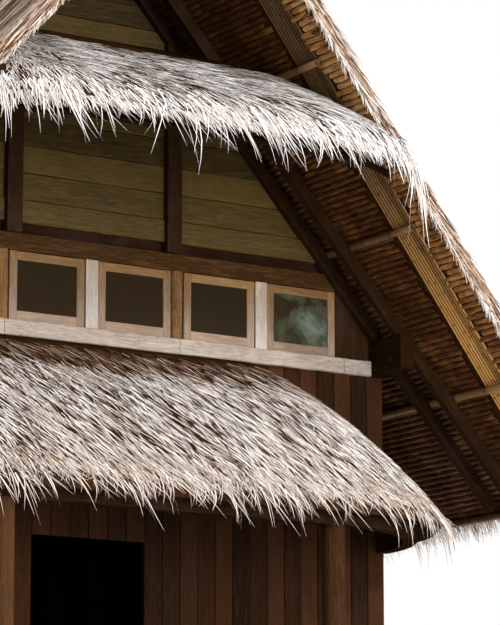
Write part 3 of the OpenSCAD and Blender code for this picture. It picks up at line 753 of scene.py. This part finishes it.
def straws(roof, rng, count, t_range, length, width, tone=(0.35, 0.75), tone_noise=0.12,
           lift=(0.002, 0.016), sink=0.005, sway=8.0, twist=28, curl=0.02, comb=0, past=None,
           u_range=None, layer=(0, 0), turned=0, dark=(0.3, 0.15), bare=0.0, keep=None):
    """Straws that lie down a thatched surface, as (points, tints).

    Each starts sunk into the surface and lifts off it towards its tip. Neighbours sway
    and lift together, so that they lie in clumps. tone, comb and dark have one value for
    each end of t_range: comb is the angle by which straws are combed aside, and dark the
    share of dark straws. past is how far a straw may hang past the eave: a length, its
    spread, and the mean of a random one more. layer is a range of depths, turned the angle
    of the flat side, bare the share of the surface that patches leave without straws, and
    keep tells which points may stay."""
    u = rng.uniform(*(u_range or (-roof.half, roof.half)), count)
    t = rng.uniform(*t_range, count)
    size = rng.uniform(*length, count)
    if past:
        more = rng.uniform(-past[1], past[1], count) + rng.exponential(past[2], count)
        size = np.clip(size, 0.06, np.maximum(roof.eave + past[0] + more - t, 0.07))
    place = np.clip((t - t_range[0]) / (t_range[1] - t_range[0]), 0, 1)
    old = rng.random(count) < dark[0] + (dark[1] - dark[0]) * place
    size = np.where(old, 0.7 * size, size)
    lean, puff, shade = ripples(rng), ripples(rng, shortest=0.04), ripples(rng)
    comb = np.interp(place, [0, 1], np.broadcast_to(comb, 2))
    angle = np.radians(rng.normal(0, sway * 0.75, count) + sway * 0.6 * lean(u, t)
                       + combed(roof, u, comb))
    s = np.linspace(0, 1, 3)[None, :]
    down = t[:, None] + size[:, None] * s * np.cos(angle)[:, None]
    aside = size[:, None] * s * np.sin(angle)[:, None] + rng.normal(0, curl, (count, 1)) * s ** 2
    high = rng.uniform(*lift, count) * np.where(old, 0.6, 1)
    high = high[:, None] * s - sink * (1 - s) + 0.004 * puff(u, t)[:, None] * (0.3 + 0.7 * s)
    high = high + rng.uniform(*layer, count)[:, None]
    taper = np.interp(s[0], [0, 0.35, 1], [0.8, 1, 0.25])
    ribbon = ribbons(roof, rng, (u, down, high), aside, (turned, twist), taper, width)
    tint = (tone[0] + (tone[1] - tone[0]) * place + rng.normal(0, tone_noise, count)
            + 0.08 * shade(u, t))
    tint = np.where(old, rng.uniform(0.0, 0.3, count), tint)
    kept = np.ones(count, bool) if keep is None else keep(ribbon.reshape(count, -1, 3)).all(1)
    if bare:
        patch = ripples(rng, 9, 0.16, 0.02)(u, t)
        kept &= patch > np.quantile(patch, bare)
    return ribbon[kept], tint[kept]


def tufts(roof, rng, count, length, width, most, tone, comb=0, spread=0.022, keep=None,
          places=None):
    """Tufts of two to most straws that hang from an eave and draw together towards their tips.

    They hang all along it, or only at the places given, count of them at each."""
    if places is None:
        middle = rng.uniform(-roof.half, roof.half, count)
    else:
        middle = np.repeat(places, count)
    count = len(middle)
    size = length[0] + (length[1] - length[0]) * rng.beta(1.2, 3.0, count)
    lean, bend = rng.normal(0, 12, count), rng.normal(0, 0.05, count)
    own = np.repeat(np.arange(count), rng.integers(2, most + 1, count))
    n = len(own)
    root = rng.normal(0, spread, n)[:, None]
    t = roof.eave - rng.uniform(0.02, 0.14, n)
    long = size[own] * rng.uniform(0.55, 1.05, n) + (roof.eave - t)
    s = np.linspace(0, 1, 5)[None, :]
    angle = np.radians(lean[own] + rng.normal(0, 5, n) + combed(roof, middle[own], comb))
    down = t[:, None] + (long * np.cos(angle))[:, None] * s
    aside = (root * (1 - 0.7 * s) + (long * np.sin(angle))[:, None] * s * (1 - 0.15 * s)
             + (bend[own] + rng.normal(0, 0.015, n))[:, None] * s ** 2)
    out = rng.uniform(-0.01, 0.02, n)[:, None] + rng.normal(0.01, 0.03, n)[:, None] * s ** 2
    taper = np.interp(s[0], [0, 0.5, 1], [1, 0.8, 0.08])
    ribbon = ribbons(roof, rng, (middle[own], down, out), aside, (0, 35), taper, width)
    tint = rng.uniform(*tone, n)
    if keep is not None:
        kept = keep(ribbon.reshape(n, -1, 3)).all(1)
        ribbon, tint = ribbon[kept], tint[kept]
    return ribbon, tint


def straw_mesh(batches):
    """One mesh of several batches of straws."""
    points, faces, tints, at = [], [], [], 0
    for ribbon, tint in batches:
        count, steps = ribbon.shape[:2]
        first = at + (np.arange(count)[:, None] * steps + np.arange(steps - 1)[None, :]) * 2
        faces.append(np.stack([first, first + 1, first + 3, first + 2], -1).reshape(-1, 4))
        points.append(ribbon.reshape(-1, 3))
        tints.append(np.repeat(tint, steps * 2))
        at += count * steps * 2
    return new_mesh(np.concatenate(points), faces, True, tint=np.clip(np.concatenate(tints), 0, 1))


def clear_of_main_roof(points):
    """True where a point is beyond the verges, or beneath the leaves of the main roof."""
    x = np.abs(points[..., 0])
    beneath = RIDGE_Z + (THATCH_V - 0.03) / COS_P - x * TAN_P
    return (np.abs(points[..., 1]) > ROOF_Y - RAKE * x + 0.01) | (points[..., 2] < beneath)


def dress_skirts(material):
    for name, turn, seed in (("front", 0, 11), ("back", 180, 12)):
        rng = np.random.default_rng(seed)
        roof = Roof(crown_curve(*SKIRT_CURVE), SKIRT_Z, WALL_Y, SKIRT_AXIS, turn)
        eave = roof.eave
        # The top batches are darker and browner: partly their own older straw, partly painted shade
        # under the hood.
        piece(name + "_skirt_straw", straw_mesh([
            straws(roof, rng, 3000, (0.0, 0.16), (0.14, 0.32), (0.005, 0.009), (0.30, 0.44), 0.2,
                   comb=14, sway=11, dark=(0.5, 0.5), bare=0.35),
            straws(roof, rng, 6000, (0.06, 0.56), (0.17, 0.38), (0.005, 0.010), (0.34, 0.88), 0.26,
                   lift=(0.002, 0.022), comb=(10, 16), sway=12, twist=18, dark=(0.55, 0.25),
                   bare=0.42),
            straws(roof, rng, 19000, (0.42, eave - 0.12), (0.12, 0.28), (0.006, 0.012),
                   (1.0, 0.76), 0.15, lift=(0.001, 0.018), comb=(15, 24), sway=12, twist=18,
                   past=(-0.05, 0.05, 0.01), dark=(0.44, 0.29), bare=0.03),
            straws(roof, rng, 4200, (eave - 0.30, eave - 0.05), (0.07, 0.16), (0.004, 0.008),
                   (0.65, 0.62), 0.16, lift=(0.002, 0.022), comb=(20, 24), sway=24,
                   past=(-0.02, 0.04, 0.01), dark=(0.25, 0.25)),
            tufts(roof, rng, 280, (0.02, 0.20), (0.005, 0.010), 3, (0.56, 0.80), 18, 0.03),
            tufts(roof, rng, 240, (0.14, 0.44), (0.006, 0.011), 2, (0.58, 0.80), 24, 0.02),
        ]), material, "thatch")


# Places along a hood's eave where long tufts trail down, two near each end
TRAILING = np.array([-1.82, -1.76, 1.76, 1.82])


def dress_hoods(material):
    clear = {"keep": clear_of_main_roof}
    for name, turn, seed in (("front", 0, 21), ("back", 180, 22)):
        rng = np.random.default_rng(seed)
        roof = Roof(crown_curve(*HOOD_CURVE), HOOD_Z, WALL_Y + 0.06, HOOD_AXIS, turn)
        piece(name + "_hood_straw", straw_mesh([
            straws(roof, rng, 7500, (0.7, 1.2), (0.10, 0.24), (0.005, 0.010), (0.74, 0.86), 0.21,
                   twist=18, sway=13, comb=(34, 38), dark=(0.40, 0.16), bare=0.03, **clear),
            straws(roof, rng, 16000, (1.1, roof.eave + 0.01), (0.09, 0.22), (0.005, 0.010),
                   (0.80, 0.79), 0.09, lift=(0.001, 0.013), twist=16, sway=14, comb=(38, 48),
                   past=(0.14, 0.05, 0.01), dark=(0.24, 0.05), bare=0.02, **clear),
            tufts(roof, rng, 160, (0.08, 0.24), (0.006, 0.012), 3, (0.70, 0.88), 30, 0.03, **clear),
            tufts(roof, rng, 240, (0.20, 0.54), (0.007, 0.013), 2, (0.66, 0.86), 30, 0.02, **clear),
            tufts(roof, rng, 3, (0.62, 0.84), (0.010, 0.017), 3, (0.6, 0.8), spread=0.03,
                  places=TRAILING),
        ]), material, "thatch")


def dress_main_roof(pale, brown):
    depth = TOP_V - THATCH_V - 0.004
    for name, turn, seed in (("right", 90, 31), ("left", -90, 32)):
        rng = np.random.default_rng(seed)
        roof = Roof(slope_curve(TOP_V), 0, 0, ROOF_Y, turn, False, RAKE)
        eave = roof.eave
        whole = (0.0, eave - 0.1)
        batches = [
            straws(roof, rng, 11500, (0.3, eave - 0.3), (0.5, 0.85), (0.015, 0.029), (0.5, 0.62),
                   u_range=(0.1 - ROOF_Y, ROOF_Y - 0.1), sway=6, past=(0.0, 0.04, 0.01)),
            straws(roof, rng, 6000, (eave - 0.5, eave - 0.04), (0.25, 0.5), (0.008, 0.016),
                   (0.6, 0.84), sway=12, past=(0.12, 0.04, 0.02)),
            tufts(roof, rng, 420, (0.05, 0.30), (0.006, 0.012), 4, (0.6, 0.88))]
        for end in (-1, 1):
            face, spikes, rim = (sorted((end * (ROOF_Y + a), end * (ROOF_Y + b)))
                                 for a, b in ((-0.01, 0.02), (0.004, 0.016), (-0.08, 0.01)))
            batches += [
                straws(roof, rng, 4800, whole, (0.14, 0.30), (0.006, 0.012), (0.46, 0.60), 0.16,
                       lift=(-0.006, 0.006), sink=0, sway=6, twist=30, curl=0.01, u_range=face,
                       layer=(-depth, 0.0), turned=90, past=(0.0, 0.03, 0.02), dark=(0.36, 0.30)),
                straws(roof, rng, 2200, whole, (0.06, 0.14), (0.006, 0.011), (0.62, 0.76),
                       lift=(-0.05, -0.01), sink=0, sway=6, twist=20, u_range=spikes,
                       layer=(-depth, 0.015 - depth), turned=90, dark=(0.2, 0.2)),
                straws(roof, rng, 1800, whole, (0.12, 0.30), (0.006, 0.012), (0.52, 0.72),
                       sway=8, twist=60, u_range=rim, past=(0.0, 0.03, 0.02), dark=(0.3, 0.25))]
        piece(name + "_slope_straw", straw_mesh(batches), pale, "thatch")
        piece(name + "_roof_leaves", leaf_courses(turn, rng), brown, "thatch")


def leaf_courses(turn, rng):
    """Brown leaves folded over each other in rolls, under the verges and eaves of one slope."""
    roof = Roof(slope_curve(THATCH_V), 0, 0, ROOF_Y, turn, False, RAKE)
    row, u = np.meshgrid(np.arange(0.02, SLOPE_LEN - 0.05, COURSE),
                         np.arange(-ROOF_Y + 0.01, ROOF_Y - 0.05, 0.053))
    row, u = row.ravel(), u.ravel() + rng.uniform(-0.02, 0.02, row.size)
    size = rng.uniform(0.09, 0.18, row.size)
    reach = row * COS_P + THATCH_V * SIN_P
    y = np.abs(u + size / 2) * (1 - RAKE * reach / ROOF_Y)
    outside = (y > WALL_Y - 0.02) | (reach > WALL_X - 0.1)
    bundle_y = WALL_Y + SLAT_OUT + BUNDLE_W / 2 - RAKE * reach
    outside &= np.abs(y - bundle_y) >= BUNDLE_W / 2 - 0.008 + size / 2
    row, u, size = (a[outside] for a in (row, u, size))
    t, count = row + THATCH_V * TAN_P, len(row)
    first, last = (rng.uniform(0, 0.02, count) for _ in range(2))
    u = np.clip(u, first - ROOF_Y, ROOF_Y - size - last)
    patch, wave = ripples(rng), ripples(rng)
    round_at = np.pi * np.linspace(0.02, 0.98, 6)[None, :]
    deep = rng.normal(0.017, 0.001, count) + 0.002 * wave(u, t)
    tall = rng.normal(0.0205, 0.0012, count)
    lift = rng.uniform(0, 0.0025, count)
    lean = rng.normal(0, 0.04, count) * size
    edges = []
    for end in (0, 1):
        down = (t + COURSE / 2 + lean * (end - 0.5))[:, None] - tall[:, None] * np.cos(round_at)
        hang = -(deep + lift * (2 * end - 1))[:, None] * np.sin(round_at) + 0.001
        along = np.broadcast_to((u + size * end)[:, None], down.shape)
        edges.append(roof.at(along, down, hang, np.zeros(down.shape))[0])
    leaves = np.stack(edges, 2)
    # Leaves inside the slat bundle get a low tint, as painted shade under the roof; beyond it they
    # are paler and grow darker towards the eave.
    beyond = np.abs(u) > WALL_Y + 1.3
    tint = (np.where(beyond, 0.72 - 0.42 * t / SLOPE_LEN, 0.20) + rng.normal(0, 0.035, count)
            + 0.10 * patch(u, t))
    tint = np.where(rng.random(count) < 0.04, rng.uniform(0.1, 0.25, count), tint)
    # The leaves over the side walls are hardly seen, and have fewer faces
    side = np.abs(u) < WALL_Y - 0.2
    return straw_mesh([(leaves[~side], tint[~side]), (leaves[side][:, [0, 2, 3, 5]], tint[side])])


def dress_ridge(material):
    rng = np.random.default_rng(41)
    batches = []
    for turn in (90, -90):
        roof = Roof(cap_curve(), 0, 0, ROOF_Y, turn, False, RAKE)
        batches.append(straws(roof, rng, 4200, (0.0, roof.eave - 0.12), (0.25, 0.42),
                              (0.010, 0.020), (0.5, 0.7), sway=12))
    piece("ridge_straw", straw_mesh(batches), material, "thatch")


# Timber pieces
TO_BACK = np.array([-1, -1, 1])


def both_ends(points):
    """The points and their copies at the back gable."""
    return np.concatenate([points, points * TO_BACK])


def make_sashes(material):
    rng = np.random.default_rng(51)
    y, half = -WALL_Y + SASH_T / 2, SASH_W / 2
    low, high = SILL_Z + 0.002, SILL_Z + SASH_H - 0.002
    edge = {"chamfer": 0.003, "rings": 3, "waver": 0.0006}
    groups = []
    for x in WINDOWS:
        sides = np.array([x - half + STILE / 2, x + half - STILE / 2])
        starts, ends = (np.stack([sides, [y, y], [z, z]], -1) for z in (low, high))
        groups.append(bars(starts, ends, STILE, SASH_T, (1, 0, 0), rng, **edge))
        inner = half - STILE + 0.0005
        for z, tall in ((high - STILE / 2, STILE), (low + BOTTOM_RAIL / 2, BOTTOM_RAIL)):
            groups.append(bars((x - inner, y + 0.001, z), (x + inner, y + 0.001, z), tall, SASH_T,
                               (0, 0, 1), rng, **edge))
    at_both_gables("window_sashes", groups, rng, material, "sash_wood", "sashes")


def make_screens(material):
    """Insect screens in front of the panes, but for the outer window on each side."""
    y, w = -WALL_Y + 0.012, SASH_W / 2 - STILE + 0.002
    z0, z1 = SILL_Z + BOTTOM_RAIL - 0.002, SILL_Z + SASH_H - STILE + 0.002
    side = 9
    b, a = (g.ravel() for g in np.meshgrid(*[np.linspace(0, 1, side)] * 2, indexing="ij"))
    sag = 0.004 * np.sin(np.pi * a) * np.sin(np.pi * b)
    points = both_ends(np.concatenate([
        np.stack([x - w + 2 * w * a, y + sag, z0 + (z1 - z0) * b], -1) for x in WINDOWS[1:5]]))
    cell = (np.arange(side - 1)[:, None] * side + np.arange(side - 1)[None, :]).ravel()
    first = (np.arange(0, len(points), side * side)[:, None] + cell[None, :]).ravel()
    faces = np.stack([first, first + 1, first + side + 1, first + side], -1)
    piece("insect_screens", new_mesh(points, [faces], True), material, "window_glass")


def make_gable_boards(material):
    rng = np.random.default_rng(61)
    gap, c, rings = 0.003, 0.006, 14
    s = np.linspace(-1, 1, rings)[:, None]
    levels = [GABLE_Z, *np.arange(GABLE_Z + 0.166, RIDGE_Z + 0.06, 0.2), RIDGE_Z + 0.06]
    groups = []
    for i, (low, high) in enumerate(zip(levels[:-1], levels[1:])):
        # The lowest board stands proud of those above it
        front, rear = -WALL_Y - (0.012 if i == 0 else 0.0), -WALL_Y + 0.03
        section = np.array([(front + c, low + gap), (rear, low + gap), (rear, high),
                            (front + c, high), (front, high - c), (front, low + gap + c)])
        half = (RIDGE_Z + (PURLIN_V - 0.008) / COS_P - section[:, 1]) / TAN_P
        x = s * np.maximum(half, 0.01)[None, :]
        wave = rng.normal(0, 0.0012, (rings, 2))
        y = section[None, :, 0] + wave[:, :1]
        z = section[None, :, 1] + wave[:, 1:]
        groups.append(np.stack([x, y, z], -1)[None, :, ::-1])
    at_both_gables("gable_planks", groups, rng, material, "gable_wood", "gable_boards")


def make_sill_planks(material):
    """Sill planks with open joints at the log posts."""
    rng = np.random.default_rng(62)
    joint = 0.002
    y, z = -WALL_Y - SILL_PROUD + SILL_T / 2, (SKIRT_Z + SILL_Z) / 2
    ends = [-SILL_REACH, *(i * WINDOW_PITCH for i in (-3, -1, 1, 3)), SILL_REACH]
    starts = [(a + joint, y, z) for a in ends[:-1]]
    stops = [(b - joint, y, z) for b in ends[1:]]
    planks = bars(starts, stops, SILL_Z - SKIRT_Z, SILL_T, (0, 0, 1), rng, 0.006, 9)
    piece("sill_planks", bar_mesh([both_ends(planks)], rng), material, "pale_wood", "sill_boards")


def make_walls(material):
    rng = np.random.default_rng(63)
    wide = 0.145

    def board_row(x0, x1, z0, z1, y):
        count = max(1, round((x1 - x0) / wide))
        edges = np.linspace(x0, x1, count + 1)
        middle = (edges[1:] + edges[:-1]) / 2
        off = y + rng.uniform(-0.003, 0.003, count)
        starts, stops = (np.stack([middle, off, np.full(count, z)], -1) for z in (z0, z1))
        return bars(starts, stops, edges[1] - edges[0] - 0.004, WALL_T, (1, 0, 0), rng,
                    0.004, 4, 0.001)

    y = -WALL_Y + WALL_T / 2
    (door_left, _, door_top), (door_right, _, _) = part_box("front_wall_over_door")
    sides = np.concatenate([board_row(-WALL_X, door_left, FLOOR_Z, SKIRT_Z, y),
                            board_row(door_right, WALL_X, FLOOR_Z, SKIRT_Z, y)])
    over = board_row(door_left, door_right, door_top, SKIRT_Z, y)
    plate_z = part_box("right_wall")[1][2]
    flank = board_row(WALL_T - WALL_Y, WALL_Y - WALL_T, FLOOR_Z, plate_z, WALL_X - WALL_T / 2)
    flank = np.stack([flank[..., 1], flank[..., 0], flank[..., 2]], -1)[:, :, ::-1]
    for name, group in (("front_wall", sides), ("front_wall_over_door", over),
                        ("back_wall", sides * TO_BACK), ("back_wall_over_door", over * TO_BACK),
                        ("right_wall", flank), ("left_wall", flank * TO_BACK)):
        piece(name + "_planks", bar_mesh([group], rng), material, "wall_boards", name)


def make_floor_planks(material):
    """Floor boards across the house, cut to the round ends of the verandas."""
    rng = np.random.default_rng(64)
    wide = 0.14
    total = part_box("floor_deck")[1][1]
    reach = total - WALL_Y
    edges = np.arange(-total, total + 0.001, 2 * total / round(2 * total / wide))
    s = np.linspace(-1, 1, 6)[:, None]
    groups = []
    for a, b in zip(edges[:-1], edges[1:]):
        ys = np.array([a + 0.006, b - 0.006, b - 0.003, b - 0.003, a + 0.003, a + 0.003])
        zs = FLOOR_Z + np.array([0, 0, -0.003, -DECK_T, -DECK_T, -0.003])
        out = np.clip(np.abs(ys) - WALL_Y, 0, reach)
        end = SKIRT_AXIS + np.sqrt(np.maximum(reach ** 2 - out ** 2, 0))
        x = s * np.minimum(np.where(np.abs(ys) > WALL_Y, end, WALL_X), WALL_X)[None, :]
        groups.append(np.stack(np.broadcast_arrays(x, ys, zs), -1)[None])
    piece("floor_planks", bar_mesh(groups, rng), material, "floor_timber", "floor_deck")


def log(rng, x, y, z0, z1, radius, rings, sides, rough, bend):
    """Rings of a round timber with a lumpy skin and a slight bend."""
    z = np.linspace(z0, z1, rings)[:, None]
    lumps = sum(np.sin(k * around(sides) + rng.uniform(0, 6.3) + rng.uniform(-2, 2) * z) / k
                for k in range(2, 9))
    drift_x = bend * np.sin(z * rng.uniform(0.8, 1.6) + rng.uniform(0, 6))
    drift_y = bend * np.cos(z * rng.uniform(0.8, 1.6) + rng.uniform(0, 6))
    size = radius * (1 + rough * lumps + rough * 0.6 * rng.normal(0, 1, (rings, sides)))
    return round_shape(x + drift_x, y + drift_y, z, size)


def make_round_timbers(material, bark):
    """Posts with a slight bend, and log posts with rough bark between the windows."""
    rng = np.random.default_rng(65)
    inner, corner, veranda = ((-x, x) for x in (WINDOW_PITCH, CORNER_X, VERANDA_X))
    posts = [("corner_posts", corner, (-CORNER_Y, 0, CORNER_Y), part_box("corner_posts")[1][2], 30),
             ("gable_wall_posts", inner, (-CORNER_Y, CORNER_Y), SKIRT_Z, 30),
             ("middle_stilts", inner, (0,), FLOOR_Z - DECK_T, 16),
             ("veranda_posts", veranda, (-VERANDA_Y, VERANDA_Y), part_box("veranda_posts")[1][2], 26)]
    made = [(node, [log(rng, x, y, FOOTING_H, top, 0.97 * POST_R, rings, 20, 0.012, 0.004)
                    for x in xs for y in ys]) for node, xs, ys, top, rings in posts]
    for node, logs in made:
        piece(node + "_logs", bar_mesh(logs, rng, True), material, "post_timber", node)
    bark_logs = [log(rng, x * s, (BARK_IN - WALL_Y) * s, SILL_Z, SILL_Z + SASH_H, BARK_R, 80, 44,
                     0.08, 0.002) for x in inner for s in (1, -1)]
    piece("bark_logs", bar_mesh(bark_logs, rng, True), bark, "bark_log", "window_logs")


def make_footing_stones(material):
    rng = np.random.default_rng(66)
    corner_x, corner_y = (reach - POST_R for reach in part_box("corner_posts")[1][:2])
    spots = [(x, y) for x in (-corner_x, -WINDOW_PITCH, WINDOW_PITCH, corner_x)
             for y in (-corner_y, 0, corner_y)]
    spots += [(x, y) for x in (-VERANDA_X, VERANDA_X) for y in (-VERANDA_Y, VERANDA_Y)]
    half, rings, sides = 0.186, 9, 40
    turn = around(sides)
    square = np.minimum(1 / np.maximum(np.abs(np.cos(turn)), np.abs(np.sin(turn))), 1.27)
    profile = np.array([(0.90, 0.0), (0.985, 0.012), (1.0, 0.04), (0.995, 0.07), (0.985, 0.10),
                        (0.965, 0.125), (0.90, 0.138), (0.6, FOOTING_H), (0.3, FOOTING_H)])
    groups = []
    for x, y in spots:
        lumps = sum(np.sin(k * turn + rng.uniform(0, 6.3) + np.arange(rings)[:, None] * 0.5) / k
                    for k in range(2, 8))
        worn = 1 + 0.010 * lumps + rng.normal(0, 0.004, (rings, sides))
        groups.append(round_shape(x, y, profile[:, 1:], half * profile[:, :1] * square * worn))
    piece("footing_stones", bar_mesh(groups, rng), material, "stone", "footings")


# Bamboo pieces
def on_slope(side, u, y, v):
    """Points u down a slope and v square to it: side is 1 for the right slope, -1 for the left."""
    return np.stack(np.broadcast_arrays(side * (u * COS_P + v * SIN_P), y,
                                        RIDGE_Z - u * SIN_P + v * COS_P), -1)


def make_bamboo(material, slat_material):
    rng = np.random.default_rng(71)
    middle_v = PURLIN_V + PURLIN_R
    poles = []
    for u in [PURLIN_FIRST + i * PURLIN_GAP for i in range(3)] + [SLOPE_LEN - 0.055]:
        end_y = ROOF_Y - PURLIN_IN - RAKE * (u * COS_P + middle_v * SIN_P)
        for side in (1, -1):
            ends = [on_slope(side, u, y, middle_v) for y in (-end_y, end_y)]
            start, end = ends if rng.random() < 0.5 else ends[::-1]
            poles.append(culm(start, end, CULM_R, 14, rng, rng.uniform(0.30, 0.42)))
    piece("purlin_culms", culm_mesh(poles), material, "bamboo", "purlins")

    # Split slats: a shallow arch across, with joints along their length
    slats = []
    start = 0.06
    arch = np.array([(-0.5, 0.0), (-0.5, -0.25), (-0.3, -0.62), (0, -0.75),
                     (0.3, -0.62), (0.5, -0.25), (0.5, 0.0)])
    for i in range(SLATS):
        for side in (1, -1):
            for end in (1, -1):
                rows = culm_stations(SLOPE_LEN - start - SLAT_W, rng.uniform(0.36, 0.5), False)
                run, swell = rows[:, :1], rows[:, 1:2]
                y = end * (WALL_Y + SLAT_OUT + i * SLAT_STEP + SLAT_W / 2 - RAKE * COS_P * run)
                y = y + arch[None, :, 0] * SLAT_W * (0.94 + 0.04 * swell)
                v = arch[None, :, 1] * SLAT_T * swell + SLAT_V + 0.0135
                points = on_slope(side, start + run, y, v)[:, ::side]
                slats.append(banded(points, rng.uniform(0.4, 1.0), rows))
    piece("split_slats", culm_mesh(slats), slat_material, "bamboo", "slat_bundles")


def dress_nodes(materials):
    for material, nodes in materials:
        for name in nodes:
            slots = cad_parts[name].data.materials
            slots.clear()
            slots.append(material)


def make_stage():
    size = 90
    mesh = new_mesh([(-size, -size, 0), (size, -size, 0), (size, size, 0), (-size, size, 0)],
                    [np.array([[0, 1, 2, 3]])])
    material, tree = new_material("pale floor")
    feed(tree, tree.nodes["Principled BSDF"], {"Base Color": (0.80, 0.79, 0.77), "Roughness": 0.9})
    mesh.materials.append(material)
    floor = add_object("floor", mesh)

    # White where the camera, gloss or glass sees it, and grey where it only lights
    world = bpy.data.worlds.new("studio")
    bpy.context.scene.world = world
    world.use_nodes = True
    tree = world.node_tree
    tree.nodes.clear()
    rays = add(tree, "ShaderNodeLightPath").outputs
    seen = maths(tree, "MAXIMUM", rays["Is Camera Ray"],
                 maths(tree, "MAXIMUM", rays["Is Glossy Ray"], rays["Is Transmission Ray"]))
    strength = maths(tree, "MULTIPLY_ADD", seen, 1 - AMBIENT, AMBIENT)
    back = add(tree, "ShaderNodeBackground", {"Color": (1, 1, 1), "Strength": strength})
    out = add(tree, "ShaderNodeOutputWorld")
    tree.links.new(back.outputs[0], out.inputs["Surface"])


bpy.context.scene.view_settings.view_transform = "Standard"
place_camera()
make_stage()
soft_lamp("key", (8, -23, 17), (0, -3, 6), 3, 4000, (1.0, 0.99, 0.975))
soft_lamp("front", (1, -27, 7), (0, -3, 6), 11, 3400, (1.0, 0.985, 0.96))
soft_lamp("top", (3, -2, 20), (0, -1, 6), 10, 900, (0.97, 0.985, 1.0))

pale_straw = straw_material("sun-bleached straw", STRAW_PALE, 0.35)
grey_straw = straw_material("grey straw", STRAW_GREY, 0.3)
brown_leaf = leaf_material()
bed = thatch_bed()
# Dark timber for the posts, made darker still as painted shade under the skirts.
dark_post = timber("dark post timber", (0.018, 0.008, 0.003), (0.095, 0.043, 0.018), "z", gloss=0.0)
frame_tones = (0.016, 0.007, 0.003), (0.085, 0.040, 0.018)
frame_x = timber("frame timber across", *frame_tones, "x", gloss=0.0)
frame_y = timber("frame timber along", *frame_tones, "y", gloss=0.0)
rafter_right, rafter_left = (
    timber(f"{name} rafter timber", (0.018, 0.008, 0.003), (0.088, 0.040, 0.015), gloss=0.02,
           vector=slope_vector(side)) for name, side in (("right", 1), ("left", -1)))
# Dark wall boards, made darker still as painted shade under the skirts.
wall_wood = timber("dark wall boards", (0.012, 0.005, 0.002), (0.060, 0.023, 0.009), "z",
                   gloss=0.03, stain=(0.02, 0.01, 0.005))
floor_wood = timber("floor boards", (0.06, 0.035, 0.022), (0.24, 0.15, 0.09))
gable_wood = timber("gable boards", (0.014, 0.008, 0.002), (0.115, 0.073, 0.018), roughness=0.55,
                    stained=0.3, stain=(0.018, 0.011, 0.004))
header_wood = timber("header timber", (0.036, 0.015, 0.004), (0.21, 0.105, 0.036), stained=0.35,
                     gloss=0.04)
frieze_wood = timber("set-back strip", (0.014, 0.005, 0.002), (0.070, 0.026, 0.009), gloss=0.03)
king_wood = timber("upright post timber", (0.022, 0.010, 0.004), (0.11, 0.05, 0.020), "z",
                   gloss=0.03)
pale_x = timber("bleached sill planks", (0.20, 0.15, 0.12), (0.58, 0.50, 0.44),
                stain=(0.10, 0.065, 0.045), stained=0.3, spots=0.8, vary=0.2)
# The post planks are painted darker towards the top, as shade under the header.
pale_z = timber("bleached post planks", (0.34, 0.275, 0.20), (0.77, 0.68, 0.56), "z",
                stain=(0.20, 0.14, 0.10), stained=0.2, spots=0.5,
                shaded_top=(SILL_Z + 0.50, SILL_Z + 0.15, (0.40, 0.35, 0.32), (0.80, 0.76, 0.74)))
# The sashes are painted darker towards the top, as shade under the header, and are paler lower down.
sash_wood = timber("sash timber", (0.11, 0.052, 0.016), (0.34, 0.200, 0.080), roughness=0.5,
                   stain=(0.12, 0.055, 0.020), stained=0.25, vary=0.35, vector=along_each_bar,
                   shaded_top=(SILL_Z + 0.48, SILL_Z + 0.10, (0.17, 0.11, 0.072), (0.40, 0.30, 0.225)))
bark = timber("bark", (0.032, 0.013, 0.004), (0.37, 0.185, 0.068), "z", roughness=0.85,
              stain=(0.24, 0.18, 0.14), stained=0.6, vary=0.12)
bamboo = bamboo_material("bamboo", (0.052, 0.024, 0.009), (0.20, 0.105, 0.042))
# Old bamboo for the poles, made darker still as painted shade under the fringes of the skirts and
# hoods.
old_and_shaded_bamboo = bamboo_material("old bamboo in painted shade", (0.014, 0.005, 0.002), (0.070, 0.030, 0.010), 0.95)
# The split slats are painted darker high up, as shade under the hood.
split_bamboo = bamboo_material("split bamboo", (0.075, 0.022, 0.002), (0.56, 0.28, 0.070), 0.4,
                               shaded_above=(5.7, 7.0, 0.85))

dress_nodes([
    (bed, ["left_thatch", "right_thatch", "ridge_cap", "front_skirt", "front_skirt_ends",
           "back_skirt", "back_skirt_ends", "front_hood", "back_hood"]),
    (frame_x, ["floor_girders", "attic_joists", "eave_beams", "eave_beam_ends"]),
    (frame_y, ["floor_joists", "wall_plates", "ridge_pole"]),
    (rafter_right, ["right_rafters"]),
    (rafter_left, ["left_rafters"]),
    (floor_wood, ["attic_floor"]),
    (king_wood, ["king_posts", "gable_cheeks"]),
    (header_wood, ["header_beams"]),
    (frieze_wood, ["friezes"]),
    (pale_z, ["window_planks"]),
    (old_and_shaded_bamboo, ["skirt_poles", "hood_poles", "hood_eave_poles"]),
    (glass_material(), ["front_panes", "back_panes"]),
])

make_round_timbers(dark_post, bark)
make_footing_stones(stone_material())
make_floor_planks(floor_wood)
make_walls(wall_wood)
make_sill_planks(pale_x)
make_sashes(sash_wood)
make_screens(screen_material())
make_gable_boards(gable_wood)
make_bamboo(bamboo, split_bamboo)
dress_skirts(pale_straw)
dress_hoods(grey_straw)
dress_main_roof(pale_straw, brown_leaf)
dress_ridge(pale_straw)
